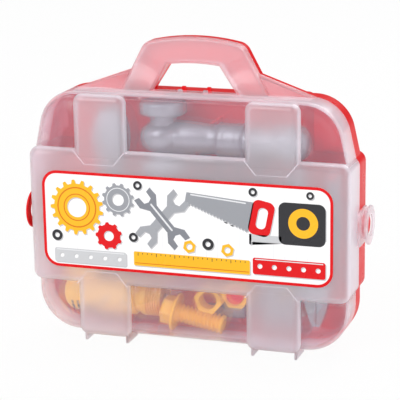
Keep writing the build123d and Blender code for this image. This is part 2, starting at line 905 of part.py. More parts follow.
# Bit: a round body with a hexagonal shank and a cross-shaped tip, lying on its two rests
with BuildPart() as drill_bit:
    bit_y = parting_y + bit_depth
    with BuildSketch(Plane.YZ.offset(bit_left + bit_tip)):
        with Locations((bit_y, bit_height)):
            Circle(bit_radius)
    extrude(amount=bit_right - bit_shank - bit_left - bit_tip)
    chamfer(drill_bit.edges().filter_by(GeomType.CIRCLE), length=bit_radius / 5)
    with BuildSketch(Plane.YZ.offset(bit_right - bit_shank)):
        with Locations((bit_y, bit_height)):
            RegularPolygon(bit_shank_radius, 6)
    extrude(amount=bit_shank)
    chamfer(drill_bit.faces().sort_by(Axis.X)[-1].edges(), length=bit_shank_radius / 5)
    with BuildSketch(Plane.YZ.offset(bit_left + bit_tip)):
        with Locations((bit_y, bit_height)):
            Rectangle(bit_tip, bit_tip / 4)
            Rectangle(bit_tip / 4, bit_tip)
    extrude(amount=-bit_tip)
    chamfer(drill_bit.faces().sort_by(Axis.X)[0].edges(), length=bit_tip / 10)
save(drill_bit.part, "drill_bit")

# Screwdriver handle: a fluted grip with a domed top and a waist, and a socket for the blade
driver_y = parting_y + driver_depth
driver_plane = Plane.XZ.offset(-driver_y)
driver_axis = Axis((driver_x, driver_y, 0), (0, 0, 1))
with BuildPart() as screwdriver_handle:
    driver_length = driver_top - driver_shoulder
    with BuildSketch(driver_plane):
        with BuildLine():
            Polyline(
                (driver_x, driver_top),
                (driver_x, driver_shoulder),
                (driver_x + driver_waist, driver_shoulder),
                (driver_x + driver_radius - wall, driver_shoulder + 2 * wall),
                (driver_x + driver_radius - wall, driver_shoulder + 3 * wall),
                (driver_x + driver_waist, driver_shoulder + 6 * wall),
            )
            Spline(
                (driver_x + driver_waist, driver_shoulder + 6 * wall),
                (driver_x + driver_radius, driver_top - driver_length / 2),
                (driver_x + driver_radius - wall / 2, driver_top - driver_length / 5),
                (driver_x, driver_top),
                tangents=((0, 1), (-1, 0)),
            )
        make_face()
    revolve(axis=driver_axis, revolution_arc=360)
    with BuildSketch(Plane.XY.offset(driver_shoulder + 9 * wall)):
        with Locations((driver_x, driver_y)):
            with PolarLocations(driver_radius + driver_flute_radius / 3, driver_flutes):
                Circle(driver_flute_radius)
    extrude(amount=driver_length, mode=Mode.SUBTRACT)
    with BuildSketch(Plane.XY.offset(driver_shoulder)):
        with Locations((driver_x, driver_y)):
            Circle(blade_radius)
    extrude(amount=blade_socket, mode=Mode.SUBTRACT)
save(screwdriver_handle.part, "screwdriver_handle")

# Screwdriver blade: a round rod that flattens to a chisel tip
with BuildPart() as screwdriver_blade:
    with BuildSketch(Plane.XY.offset(blade_bottom)):
        with Locations((driver_x, driver_y)):
            Circle(blade_radius)
    extrude(amount=driver_shoulder + blade_socket - blade_bottom)
    for side in (-1, 1):
        with BuildSketch(Plane.YZ.offset(driver_x)):
            with BuildLine():
                Polyline(
                    (driver_y + side * blade_tip_thick / 2, blade_bottom - overrun),
                    (driver_y + side * 2 * blade_radius, blade_bottom - overrun),
                    (driver_y + side * 2 * blade_radius, blade_bottom + 2 * blade_tip_length),
                    (driver_y + side * blade_tip_thick / 2, blade_bottom + blade_tip_length / 4),
                    close=True,
                )
            make_face()
        extrude(amount=blade_radius + overrun, both=True, mode=Mode.SUBTRACT)
save(screwdriver_blade.part, "screwdriver_blade")

# Pliers: two crossed arms, halved at the pivot, and the rivet that joins them
pliers_y = parting_y + pliers_depth
pliers_plane = Plane.XZ.offset(-pliers_y)


def pliers_arm(side, lap, fit):
    """Arm with its jaw on one side (1 is +X) and its handle on the other; lap 1 keeps the back half."""
    jaw_plane = Plane(
        origin=(pliers_x, pliers_y, pliers_pivot),
        x_dir=(1, 0, 0),
        z_dir=(0, -1, 0),
    )
    jaw_long = pliers_pivot - pliers_tip
    inner = side * jaw_gap / 2
    with BuildPart() as arm:
        with BuildSketch(jaw_plane):
            with BuildLine():
                Polyline(
                    (side * jaw_root_half, 0),
                    (inner, 0),
                    (inner, -jaw_long),
                    (inner + side * jaw_tip_half, -jaw_long),
                )
                ThreePointArc(
                    (inner + side * jaw_tip_half, -jaw_long),
                    (side * jaw_belly, -jaw_long / 2),
                    (side * jaw_root_half, 0),
                )
            make_face()
            Circle(pliers_disc)
        extrude(amount=pliers_thick / 2, both=True)
        tooth_pitch = jaw_long / 2 / jaw_teeth
        tooth_rows = [-jaw_long + (index + 1) * tooth_pitch for index in range(jaw_teeth)]
        with BuildSketch(jaw_plane):
            with Locations([(inner, row) for row in tooth_rows]):
                Rectangle(tooth_depth * 2, tooth_depth)
        extrude(amount=pliers_thick / 2 + overrun, both=True, mode=Mode.SUBTRACT)
        end_z = pliers_top - arm_width / 2
        with BuildSketch(pliers_plane):
            with BuildLine():
                ThreePointArc(
                    (pliers_x, pliers_pivot),
                    (
                        pliers_x - side * arm_spread * 3 / 4,
                        pliers_pivot + (arm_bow - pliers_pivot) * 4 / 9,
                    ),
                    (pliers_x - side * arm_spread, arm_bow),
                )
                Line((pliers_x - side * arm_spread, arm_bow), (pliers_x - side * arm_spread, end_z))
                offset(amount=arm_width / 2)
            make_face()
            with Locations((pliers_x - side * arm_spread, end_z)):
                Circle(hang_hole, mode=Mode.SUBTRACT)
        extrude(amount=pliers_thick / 2, both=True)
        with BuildSketch(pliers_plane):
            with Locations((pliers_x, pliers_pivot)):
                Circle(pliers_disc + jaw_gap)
        extrude(amount=lap * pliers_thick, mode=Mode.SUBTRACT)
        with BuildSketch(pliers_plane.offset(-pliers_thick)):
            with Locations((pliers_x, pliers_pivot)):
                Circle(rivet_radius + fit)
        extrude(amount=2 * pliers_thick, mode=Mode.SUBTRACT)
    return arm.part


save(pliers_arm(-1, 1, 0), "pliers_fixed_arm")
save(pliers_arm(1, -1, running_fit), "pliers_moving_arm")

with BuildPart() as pliers_rivet:
    with BuildSketch(pliers_plane):
        with Locations((pliers_x, pliers_pivot)):
            Circle(rivet_radius)
    extrude(amount=pliers_thick / 2 + parting_gap, both=True)
    for side in (-1, 1):
        with BuildSketch(pliers_plane.offset(side * (pliers_thick / 2 + parting_gap))):
            with Locations((pliers_x, pliers_pivot)):
                Circle(rivet_head)
        extrude(amount=side * rivet_cap)
    fillet(pliers_rivet.faces().sort_by(Axis.Y)[0].edges(), radius=rivet_cap / 2)
save(pliers_rivet.part, "pliers_rivet")

# Adjustable wrench: body with the fixed jaw, the guide channel and the window of the thumb screw
wrench_y = parting_y + wrench_depth
wrench_plane = Plane.XZ.offset(-wrench_y)
channel_low = wrench_mouth_z + rack_rise
channel_high = channel_low + rack_height
worm_z = channel_high + slide_fit + worm_radius
worm_x = wrench_x + 2 * wall
moving_left = wrench_x + jaw_gap
with BuildPart() as wrench_body:
    with BuildSketch(wrench_plane) as wrench_form:
        with Locations((wrench_x, wrench_head_z)):
            Ellipse(wrench_head_radius, wrench_head_radius - wall)
        with BuildLine():
            Polyline(
                (wrench_x - wrench_neck_half, wrench_head_z),
                (wrench_x + wrench_neck_half, wrench_head_z),
                (wrench_x + wrench_neck_half, wrench_head_z + 2 * wrench_head_radius),
                (wrench_x + wrench_handle_half, wrench_top - wrench_handle_half),
                (wrench_x - wrench_handle_half, wrench_top - wrench_handle_half),
                (wrench_x - wrench_neck_half, wrench_head_z + 2 * wrench_head_radius),
                close=True,
            )
        make_face()
        with Locations((wrench_x, wrench_top - wrench_handle_half)):
            Circle(wrench_handle_half)
        with BuildLine():
            Polyline(
                (wrench_x - wrench_head_radius, wrench_head_z),
                (wrench_x - wrench_head_radius + wall, wrench_jaw_bottom + 2 * wall),
                (wrench_x - fixed_jaw_width + wall, wrench_jaw_bottom),
                (wrench_x - wall, wrench_jaw_bottom),
                (wrench_x - wall, wrench_head_z),
                close=True,
            )
        make_face()
        with Locations((wrench_x - wall, wrench_mouth_z)):
            Rectangle(
                2 * wrench_head_radius, wrench_head_radius, align=(Align.MIN, Align.MAX),
                mode=Mode.SUBTRACT,
            )
        with Locations((wrench_x, wrench_hang)):
            Circle(hang_hole, mode=Mode.SUBTRACT)
    extrude(amount=wrench_thick / 2, both=True)
    channel_left = wrench_x - wrench_head_radius / 2
    channel_length = 2 * wrench_head_radius
    with BuildSketch(Plane.YZ.offset(channel_left)):
        with Locations((wrench_y, (channel_low + channel_high) / 2)):
            Rectangle(rack_thick + 2 * slide_fit, rack_height + 2 * slide_fit)
        with Locations((wrench_y, channel_low + overrun)):
            Rectangle(
                rack_web + 2 * slide_fit, rack_rise + 3 * overrun, align=(Align.CENTER, Align.MAX)
            )
    extrude(amount=channel_length, mode=Mode.SUBTRACT)
    with BuildSketch(wrench_plane):
        with Locations((worm_x, worm_z)):
            Rectangle(2 * (worm_half + slide_fit), 2 * (worm_radius + slide_fit))
    extrude(amount=wrench_thick, both=True, mode=Mode.SUBTRACT)
    with BuildSketch(Plane.YZ.offset(worm_x - worm_half - 2 * wall)):
        with Locations((wrench_y, worm_z)):
            Circle(worm_journal + running_fit)
    extrude(amount=2 * worm_half + 4 * wall, mode=Mode.SUBTRACT)
save(wrench_body.part, "wrench_body")

# Moving jaw: a hooked jaw on a web, and a rack bar that slides in the channel
with BuildPart() as wrench_jaw:
    with BuildSketch(wrench_plane) as jaw_form:
        with BuildLine():
            Polyline(
                (moving_left, wrench_jaw_bottom),
                (moving_left + moving_jaw_width - 2 * wall, wrench_jaw_bottom),
                (moving_left + moving_jaw_width + wall, wrench_jaw_bottom + 3 * wall),
                (moving_left + moving_jaw_width + wall, wrench_mouth_z - slide_fit),
                (moving_left, wrench_mouth_z - slide_fit),
                close=True,
            )
        make_face()
    extrude(amount=moving_jaw_thick / 2, both=True)
    with BuildSketch(wrench_plane):
        with Locations((moving_left, wrench_mouth_z - overrun)):
            Rectangle(
                moving_jaw_width, rack_rise + 2 * overrun, align=(Align.MIN, Align.MIN)
            )
    extrude(amount=rack_web / 2, both=True)
    with BuildSketch(wrench_plane):
        with Locations((moving_left - 2 * wall, channel_low)):
            Rectangle(moving_jaw_width + 3 * wall, rack_height, align=(Align.MIN, Align.MIN))
    extrude(amount=rack_thick / 2, both=True)
save(wrench_jaw.part, "wrench_jaw")

# Thumb screw of the wrench, on its own journals
with BuildPart() as wrench_worm:
    with BuildSketch(Plane.YZ.offset(worm_x - worm_half)):
        with Locations((wrench_y, worm_z)):
            Circle(worm_radius)
            with PolarLocations(worm_radius, worm_grooves):
                Circle(worm_groove_radius, mode=Mode.SUBTRACT)
    extrude(amount=2 * worm_half)
    with BuildSketch(Plane.YZ.offset(worm_x - worm_half - wall)):
        with Locations((wrench_y, worm_z)):
            Circle(worm_journal)
    extrude(amount=2 * worm_half + 2 * wall)
save(wrench_worm.part, "wrench_worm")


def bolt_solid(plane):
    """Toy bolt along the plane's normal, its flange face on the plane and its shank behind."""
    with BuildPart() as bolt:
        with BuildSketch(plane):
            Circle(flange_radius)
        extrude(amount=flange_thick)
        with BuildSketch(plane.offset(flange_thick)):
            RegularPolygon(hex_radius, 6)
        extrude(amount=hex_height)
        with BuildSketch(plane):
            Circle(shank_radius)
        extrude(amount=-shank_length)
        with BuildSketch(plane.offset(-shank_length)):
            Circle(shank_bore)
        extrude(amount=shank_bore_depth, mode=Mode.SUBTRACT)
    return bolt.part


def nut_solid(plane):
    """Toy nut with rounded corners, its hole along the plane's normal and the plane at its middle."""
    with BuildPart() as nut:
        with BuildSketch(plane) as form:
            RegularPolygon(nut_apothem, 6, major_radius=False)
            fillet(form.vertices(), radius=nut_corner)
            Circle(nut_bore, mode=Mode.SUBTRACT)
        extrude(amount=nut_thick / 2, both=True)
    return nut.part


# Bolts: three hang in their rack, and one lies on the floor of the case on its flange and tip
loose_y = parting_y + loose_bolt_depth
loose_height = floor_inside + rest_fit + flange_radius * cos(bolt_tilt)
loose_plane = Plane(
    origin=(loose_bolt_x, loose_y, loose_height),
    x_dir=(0, 1, 0),
    z_dir=(-cos(bolt_tilt), 0, sin(bolt_tilt)),
)
with BuildPart() as bolts:
    add(bolt_solid(loose_plane))
    for x in bolt_places:
        add(bolt_solid(Plane(origin=(x, parting_y + bolt_rack_depth, bolt_rack_z), z_dir=(0, 0, 1))))
save(bolts.part, "bolts")

# Ring nuts: one stands on the loose bolt's shank, the others hang on their pegs
nut_stand = shank_radius + rest_fit + nut_apothem
loose_nut_plane = Plane(
    origin=(
        loose_bolt_x + loose_nut_along * cos(bolt_tilt) + nut_stand * sin(bolt_tilt),
        loose_y,
        loose_height - loose_nut_along * sin(bolt_tilt) + nut_stand * cos(bolt_tilt),
    ),
    x_dir=(cos(bolt_tilt), 0, -sin(bolt_tilt)),
    z_dir=(0, -1, 0),
)
with BuildPart() as ring_nuts:
    add(nut_solid(loose_nut_plane))
    for x, z, wall_depth in nut_pegs:
        add(
            nut_solid(
                Plane(
                    origin=(x, parting_y + peg_nut_back - nut_thick / 2, z),
                    x_dir=(1, 0, 0),
                    z_dir=(0, -1, 0),
                )
            )
        )
save(ring_nuts.part, "ring_nuts")

# Slotted screws hang by their heads in the upper rack
with BuildPart() as slotted_screws:
    for x in screw_places:
        head_place = (x, parting_y + screw_rack_depth)
        with BuildSketch(Plane.XY.offset(screw_rack_z)):
            with Locations(head_place):
                Circle(screw_head_radius)
        extrude(amount=screw_head_height)
        with BuildSketch(Plane.XY.offset(screw_rack_z)):
            with Locations(head_place):
                Circle(screw_radius)
        extrude(amount=-screw_length)
        with BuildSketch(Plane.XY.offset(screw_rack_z + screw_head_height)):
            with Locations(head_place):
                Rectangle(screw_slot, 3 * screw_head_radius)
        extrude(amount=-screw_slot_depth, mode=Mode.SUBTRACT)
save(slotted_screws.part, "slotted_screws")


def strip_solid(layer):
    """Perforated strip in the stack on the two pegs; layer 0 lies against the back wall."""
    back = belt_wall - strip_gap - layer * (strip_thick + strip_gap)
    with BuildPart() as strip:
        with BuildSketch(at_depth(back)):
            with Locations((strip_x, strip_z)):
                RectangleRounded(strip_length, strip_width, strip_corner)
            with Locations([(strip_x + x, strip_z) for x in strip_places]):
                Circle(strip_hole_radius, mode=Mode.SUBTRACT)
        extrude(amount=strip_thick)
    return strip.part


for name, layers in (("grey_strips", (0, 1)), ("red_strips", (2, 3))):
    with BuildPart() as strips:
        for layer in layers:
            add(strip_solid(layer))
    save(strips.part, name)
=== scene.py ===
"""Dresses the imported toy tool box: clear and red case, printed label, and the tools inside."""

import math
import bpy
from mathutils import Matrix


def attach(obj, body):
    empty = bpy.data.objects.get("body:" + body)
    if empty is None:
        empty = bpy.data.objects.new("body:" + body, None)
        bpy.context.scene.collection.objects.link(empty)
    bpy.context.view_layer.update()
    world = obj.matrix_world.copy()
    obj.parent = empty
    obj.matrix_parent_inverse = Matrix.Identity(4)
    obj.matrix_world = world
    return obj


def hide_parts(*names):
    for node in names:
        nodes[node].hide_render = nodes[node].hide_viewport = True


bl_info = {
    "name": "Toy Tool Box",
    "version": (1, 0, 0),
    "blender": (4, 5, 0),
    "location": "3D View > Sidebar > Tool Box",
    "description": "Builds the finishes and the fine pieces of a toy tool box on its packed frame",
    "category": "Object",
}

import bmesh
import bpy
from bpy.props import FloatProperty, FloatVectorProperty, IntProperty, PointerProperty
from bpy.types import Operator, Panel, PropertyGroup
from mathutils import Matrix, Vector

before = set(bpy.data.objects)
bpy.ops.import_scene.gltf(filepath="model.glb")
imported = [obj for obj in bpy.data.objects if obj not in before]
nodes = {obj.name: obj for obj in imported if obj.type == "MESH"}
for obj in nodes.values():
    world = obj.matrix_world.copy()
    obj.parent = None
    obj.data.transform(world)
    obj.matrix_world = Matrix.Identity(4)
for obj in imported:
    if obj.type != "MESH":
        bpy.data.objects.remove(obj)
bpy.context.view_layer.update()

MM = 0.001
NEAR = 1e-6
FRONT = Vector((0, -1, 0))
ACROSS = Vector((1, 0, 0))
UP = Vector((0, 0, 1))

# Depths of the plane where the shells meet and of the label's back; thickness of the field
PARTING = 4.15 * MM
LABEL_BACK = PARTING - 38.0 * MM
FIELD_THICK = 0.18 * MM

# Where the front shell changes its finish, and the slots of its materials
HANDLE_FOOT = 227 * MM
FEET_TOP = 7.5 * MM
RAISED_DEPTH = PARTING - 30.6 * MM
BELT_REACH = 143.4 * MM
BELT_LOW, BELT_HIGH = 54 * MM, 178 * MM
WINDOW, RIM, FROST, EDGE, HANDLE = range(5)

# A point on the axis of the hammer's handle and one on the axis of the drill's barrel
HAMMER_AXIS = Vector((0, PARTING - 4 * MM, 185.5 * MM))
DRILL_AXIS = Vector((0, PARTING + 2 * MM, 35 * MM))

# The camera's target and the middle of the case, where the lamps aim
TARGET = Vector((14.74 * MM, PARTING - 37.8 * MM, 139.39 * MM))
MIDDLE = Vector((0, 0, 0.14))


def colour(label, about, value):
    """A colour that the user can change."""
    return FloatVectorProperty(
        name=label, description=about, subtype="COLOR", size=3, min=0, max=1, default=value
    )


def length(label, about, value):
    """A length that the user can change, in metres."""
    return FloatProperty(name=label, description=about, unit="LENGTH", min=0, default=value)


def share(label, about, value):
    """A share from 0 to 1 that the user can change."""
    return FloatProperty(
        name=label, description=about, subtype="FACTOR", min=0, max=1, default=value
    )


class CaseFinish(PropertyGroup):
    """Colours and clearness of the case."""

    red: colour("Red moulding", "Colour of the back shell", (0.76, 0.006, 0.010))
    clear: colour("Clear moulding", "Tint of the front shell", (0.965, 0.895, 0.98))
    window: colour("Clear windows", "Tint of the clear windows", (1.0, 0.80, 0.97))
    window_veil: share("Window veil", "Share of a window's surface that is not bare", 0.34)
    window_clearness: share("Window clearness", "Light that passes the veil of a window", 0.76)
    rim_veil: share("Rim veil", "Share of a rounded rim's surface that is not bare", 0.66)
    rim_clearness: share("Rim clearness", "Light that passes the veil of a rim", 0.35)
    frost_veil: share("Frost veil", "Share of a frosted surface that is not bare", 0.84)
    frost_clearness: share("Frost clearness", "Light that passes a frosted surface", 0.8)
    handle_veil: share("Handle veil", "Share of the handle's surface that is not bare", 0.6)
    handle_clearness: share("Handle clearness", "Light that passes the handle's surface", 0.68)
    edge_veil: share("Edge veil", "Share of a frosted edge's surface that is not bare", 0.86)
    edge_clearness: share("Edge clearness", "Light that passes a frosted edge", 0.48)
    let_in: share("Light let in", "Share of the daylight that the veils let into the case", 0.95)


class SetFinish(PropertyGroup):
    """Colours of the tools and small parts."""

    yellow: colour("Yellow", "Colour of the drill, bolts and nuts", (0.98, 0.50, 0.02))
    silver: colour("Silver grey", "Colour of the hammer and the pliers", (0.325, 0.368, 0.385))
    black: colour("Black", "Colour of the slotted screws", (0.022, 0.022, 0.026))
    red: colour("Red strips", "Colour of the red strips", (0.70, 0.012, 0.02))
    pale: colour("Pale strips", "Colour of the grey strips", (0.48, 0.50, 0.53))


class LabelSizes(PropertyGroup):
    """Sizes and colours of the printed label."""

    width: length("Width", "Width of the label", 264 * MM)
    height: length("Height", "Height of the label", 87.7 * MM)
    centre_z: length("Centre height", "Height of the label's centre", 113.55 * MM)
    corner: length("Corner", "Radius of the label's corners", 14 * MM)
    border: length("Border", "Width of the red border", 2.6 * MM)
    field: colour("Field", "Colour of the field", (0.93, 0.93, 0.94))
    edge: colour("Border colour", "Colour of the border", (0.74, 0.004, 0.008))


class ThreadSizes(PropertyGroup):
    """Sizes of the bolts, nuts and screws."""

    bolt_radius: length("Bolt shank", "Radius over the bolt's thread", 8.7 * MM)
    bolt_length: length("Bolt length", "Length of the bolt's shank", 44 * MM)
    bolt_pitch: length("Bolt pitch", "Pitch of the bolt's thread", 3.7 * MM)
    bolt_thread: length("Bolt thread depth", "Depth of the bolt's thread", 2.4 * MM)
    screw_radius: length("Screw shank", "Radius over the screw's thread", 4.5 * MM)
    screw_length: length("Screw length", "Length of the screw's shank", 36 * MM)
    screw_pitch: length("Screw pitch", "Pitch of the screw's thread", 2.6 * MM)
    steps: IntProperty(
        name="Steps", description="Faces round a shank", min=16, max=96, default=48
    )


class StageSizes(PropertyGroup):
    """Camera and light of the stage."""

    lens: FloatProperty(name="Lens", description="Focal length in mm", default=147.8)
    azimuth: FloatProperty(
        name="Azimuth", description="Turn of the camera to the right", subtype="ANGLE",
        default=math.radians(18.61),
    )
    elevation: FloatProperty(
        name="Elevation", description="Height of the camera as an angle", subtype="ANGLE",
        default=math.radians(14.74),
    )
    roll: FloatProperty(
        name="Roll", description="Tilt of the camera about its view", subtype="ANGLE",
        default=math.radians(-0.91),
    )
    distance: length("Distance", "From the camera to its target", 1404.9 * MM)
    world_light: FloatProperty(name="Sky", description="Strength of the sky", default=0.88)
    mirrored_light: FloatProperty(
        name="Mirrored sky", description="Strength of the sky in reflections", default=0.20
    )


# Shader groups


def new_group(name, inputs, outputs):
    """Empty shader group with its sockets, and its input and output nodes."""
    group = bpy.data.node_groups.new(name, "ShaderNodeTree")
    for label, kind, value in inputs:
        socket = group.interface.new_socket(label, in_out="INPUT", socket_type=kind)
        socket.default_value = value
    for label, kind in outputs:
        group.interface.new_socket(label, in_out="OUTPUT", socket_type=kind)
    entry = group.nodes.new("NodeGroupInput")
    leave = group.nodes.new("NodeGroupOutput")
    return group, entry, leave


def noise_at(tree, scale, detail):
    """Noise on the object's own coordinates; scale is a number or the socket that gives it."""
    place = tree.nodes.new("ShaderNodeTexCoord")
    noise = tree.nodes.new("ShaderNodeTexNoise")
    noise.inputs["Detail"].default_value = detail
    noise.inputs["Roughness"].default_value = 0.55
    tree.links.new(place.outputs["Object"], noise.inputs["Vector"])
    if isinstance(scale, (int, float)):
        noise.inputs["Scale"].default_value = scale
    else:
        tree.links.new(scale, noise.inputs["Scale"])
    return noise


def moulded_surface():
    """Group: satin patches in the gloss, and the fine grain of a mould's surface as a normal."""
    group = bpy.data.node_groups.get("moulded_surface")
    if group:
        return group
    group, entry, leave = new_group(
        "moulded_surface",
        [
            ("Gloss Low", "NodeSocketFloat", 0.25),
            ("Gloss High", "NodeSocketFloat", 0.35),
            ("Grain Scale", "NodeSocketFloat", 1800.0),
            ("Grain Depth", "NodeSocketFloat", 0.00002),
        ],
        [("Roughness", "NodeSocketFloat"), ("Normal", "NodeSocketVector")],
    )
    patches = noise_at(group, 38.0, detail=4.0)
    spread = group.nodes.new("ShaderNodeMapRange")
    spread.inputs["From Min"].default_value = 0.35
    spread.inputs["From Max"].default_value = 0.65
    group.links.new(patches.outputs["Fac"], spread.inputs["Value"])
    group.links.new(entry.outputs["Gloss Low"], spread.inputs["To Min"])
    group.links.new(entry.outputs["Gloss High"], spread.inputs["To Max"])
    group.links.new(spread.outputs["Result"], leave.inputs["Roughness"])
    grain = noise_at(group, entry.outputs["Grain Scale"], detail=2.0)
    bump = group.nodes.new("ShaderNodeBump")
    bump.inputs["Strength"].default_value = 0.6
    group.links.new(entry.outputs["Grain Depth"], bump.inputs["Distance"])
    group.links.new(grain.outputs["Fac"], bump.inputs["Height"])
    group.links.new(bump.outputs["Normal"], leave.inputs["Normal"])
    return group


def tone_drift():
    """Group: slow change of a colour between two tones over the moulding."""
    group = bpy.data.node_groups.get("tone_drift")
    if group:
        return group
    group, entry, leave = new_group(
        "tone_drift",
        [
            ("Tone", "NodeSocketColor", (0.5, 0.5, 0.5, 1)),
            ("Other Tone", "NodeSocketColor", (0.5, 0.5, 0.5, 1)),
            ("Size", "NodeSocketFloat", 14.0),
        ],
        [("Color", "NodeSocketColor")],
    )
    drift = noise_at(group, entry.outputs["Size"], detail=4.0)
    mix = group.nodes.new("ShaderNodeMix")
    mix.data_type = "RGBA"
    group.links.new(drift.outputs["Fac"], mix.inputs["Factor"])
    group.links.new(entry.outputs["Tone"], mix.inputs["A"])
    group.links.new(entry.outputs["Other Tone"], mix.inputs["B"])
    group.links.new(mix.outputs["Result"], leave.inputs["Color"])
    return group


def plastic(name, tone, gloss=(0.24, 0.34), drift=0.06, grain=(1500.0, 0.00002), **sockets):
    """Moulded plastic: the tone drifts a little, the gloss is patchy and the skin has a fine grain."""
    material = bpy.data.materials.new(name)
    material.use_nodes = True
    tree = material.node_tree
    shader = tree.nodes["Principled BSDF"]
    surface = tree.nodes.new("ShaderNodeGroup")
    surface.node_tree = moulded_surface()
    surface.inputs["Gloss Low"].default_value = gloss[0]
    surface.inputs["Gloss High"].default_value = gloss[1]
    surface.inputs["Grain Scale"].default_value = grain[0]
    surface.inputs["Grain Depth"].default_value = grain[1]
    tree.links.new(surface.outputs["Roughness"], shader.inputs["Roughness"])
    tree.links.new(surface.outputs["Normal"], shader.inputs["Normal"])
    tones = tree.nodes.new("ShaderNodeGroup")
    tones.node_tree = tone_drift()
    tones.inputs["Tone"].default_value = (*[part * (1 - drift) for part in tone], 1)
    tones.inputs["Other Tone"].default_value = (*[min(1, part * (1 + drift)) for part in tone], 1)
    tree.links.new(tones.outputs["Color"], shader.inputs["Base Color"])
    for socket, value in sockets.items():
        shader.inputs[socket.replace("_", " ")].default_value = value
    return material


def let_light_in(material, veil, part):
    """Milky plastic scatters daylight through itself, so shadow and diffuse rays meet less veil."""
    tree = material.node_tree
    path = tree.nodes.new("ShaderNodeLightPath")
    either = tree.nodes.new("ShaderNodeMath")
    either.operation = "MAXIMUM"
    tree.links.new(path.outputs["Is Shadow Ray"], either.inputs[0])
    tree.links.new(path.outputs["Is Diffuse Ray"], either.inputs[1])
    veiled = tree.nodes.new("ShaderNodeMath")
    veiled.operation = "MULTIPLY_ADD"
    veiled.inputs[1].default_value = -part * veil
    veiled.inputs[2].default_value = veil
    tree.links.new(either.outputs[0], veiled.inputs[0])
    tree.links.new(veiled.outputs[0], tree.nodes["Principled BSDF"].inputs["Alpha"])


def dress(node, material):
    """Give a node of the frame its material."""
    solid = nodes[node]
    if not solid.material_slots:
        solid.data.materials.append(material)
    for slot in solid.material_slots:
        slot.material = material


# Mesh helpers


def piece(name, mesh_or_bmesh, body, materials, smooth=35.0):
    """Make an object of a mesh, shade it, give it its materials and let it ride on its body."""
    if isinstance(mesh_or_bmesh, bpy.types.Mesh):
        mesh = mesh_or_bmesh
    else:
        mesh = bpy.data.meshes.new(name)
        bmesh.ops.remove_doubles(mesh_or_bmesh, verts=mesh_or_bmesh.verts, dist=NEAR)
        bmesh.ops.recalc_face_normals(mesh_or_bmesh, faces=mesh_or_bmesh.faces)
        mesh_or_bmesh.to_mesh(mesh)
        mesh_or_bmesh.free()
    for material in materials:
        mesh.materials.append(material)
    mesh.shade_smooth()
    mesh.set_sharp_from_angle(angle=math.radians(smooth))
    made = bpy.data.objects.new(name, mesh)
    bpy.context.scene.collection.objects.link(made)
    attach(made, body)
    return made


def stand(origin, along, across):
    """Matrix that takes local Z to along and local X to across, at the origin."""
    z_axis = Vector(along).normalized()
    x_axis = Vector(across).normalized()
    y_axis = z_axis.cross(x_axis)
    rows = Matrix((x_axis, y_axis, z_axis)).transposed().to_4x4()
    return Matrix.Translation(Vector(origin)) @ rows


def lathe(bm, profile, steps, matrix, radius_at=None):
    """Turn a profile of (radius, height) about Z; radius_at may change a radius with its angle."""
    rings = []
    for radius, height in profile:
        if radius < NEAR:
            rings.append([bm.verts.new(matrix @ Vector((0, 0, height)))])
            continue
        ring = []
        for step in range(steps):
            angle = math.tau * step / steps
            reach = radius_at(radius, height, angle) if radius_at else radius
            spot = Vector((reach * math.cos(angle), reach * math.sin(angle), height))
            ring.append(bm.verts.new(matrix @ spot))
        rings.append(ring)
    for low, high in zip(rings, rings[1:]):
        for step in range(steps):
            following = (step + 1) % steps
            if len(low) == 1 and len(high) == 1:
                continue
            if len(low) == 1:
                bm.faces.new((low[0], high[following], high[step]))
            elif len(high) == 1:
                bm.faces.new((low[step], low[following], high[0]))
            else:
                bm.faces.new((low[step], low[following], high[following], high[step]))


def prism(bm, corners, depth, matrix, rim=0.0):
    """Prism on a ring of (x, y) corners, from z = 0 up, its upper edges bevelled by the rim."""
    count = len(corners)
    low = [bm.verts.new(matrix @ Vector((x, y, 0))) for x, y in corners]
    rings = [low]
    if rim > 0:
        rings.append([bm.verts.new(matrix @ Vector((x, y, depth - rim))) for x, y in corners])
    factor = 1 - rim / max(math.hypot(*corner) for corner in corners)
    rings.append(
        [bm.verts.new(matrix @ Vector((x * factor, y * factor, depth))) for x, y in corners]
    )
    for lower, upper in zip(rings, rings[1:]):
        for step in range(count):
            following = (step + 1) % count
            bm.faces.new((lower[step], lower[following], upper[following], upper[step]))
    bm.faces.new(list(reversed(low)))
    bm.faces.new(rings[-1])


def fused(first, second):
    """Mesh of two closed solids fused into one."""
    drafts = []
    for bm in (first, second):
        bmesh.ops.remove_doubles(bm, verts=bm.verts, dist=NEAR)
        bmesh.ops.recalc_face_normals(bm, faces=bm.faces)
        mesh = bpy.data.meshes.new("draft")
        bm.to_mesh(mesh)
        bm.free()
        drafts.append(bpy.data.objects.new("draft", mesh))
        bpy.context.scene.collection.objects.link(drafts[-1])
    union = drafts[0].modifiers.new("union", "BOOLEAN")
    union.operation = "UNION"
    union.solver = "EXACT"
    union.object = drafts[1]
    graph = bpy.context.evaluated_depsgraph_get()
    mesh = bpy.data.meshes.new_from_object(drafts[0].evaluated_get(graph))
    for draft in drafts:
        bpy.data.objects.remove(draft)
    return mesh


def in_mm(points):
    """Points given in mm, as metres."""
    return [(x * MM, y * MM) for x, y in points]


def ring_points(radius, count):
    """Corners of a regular polygon."""
    angles = [math.tau * index / count for index in range(count)]
    return [(radius * math.cos(angle), radius * math.sin(angle)) for angle in angles]


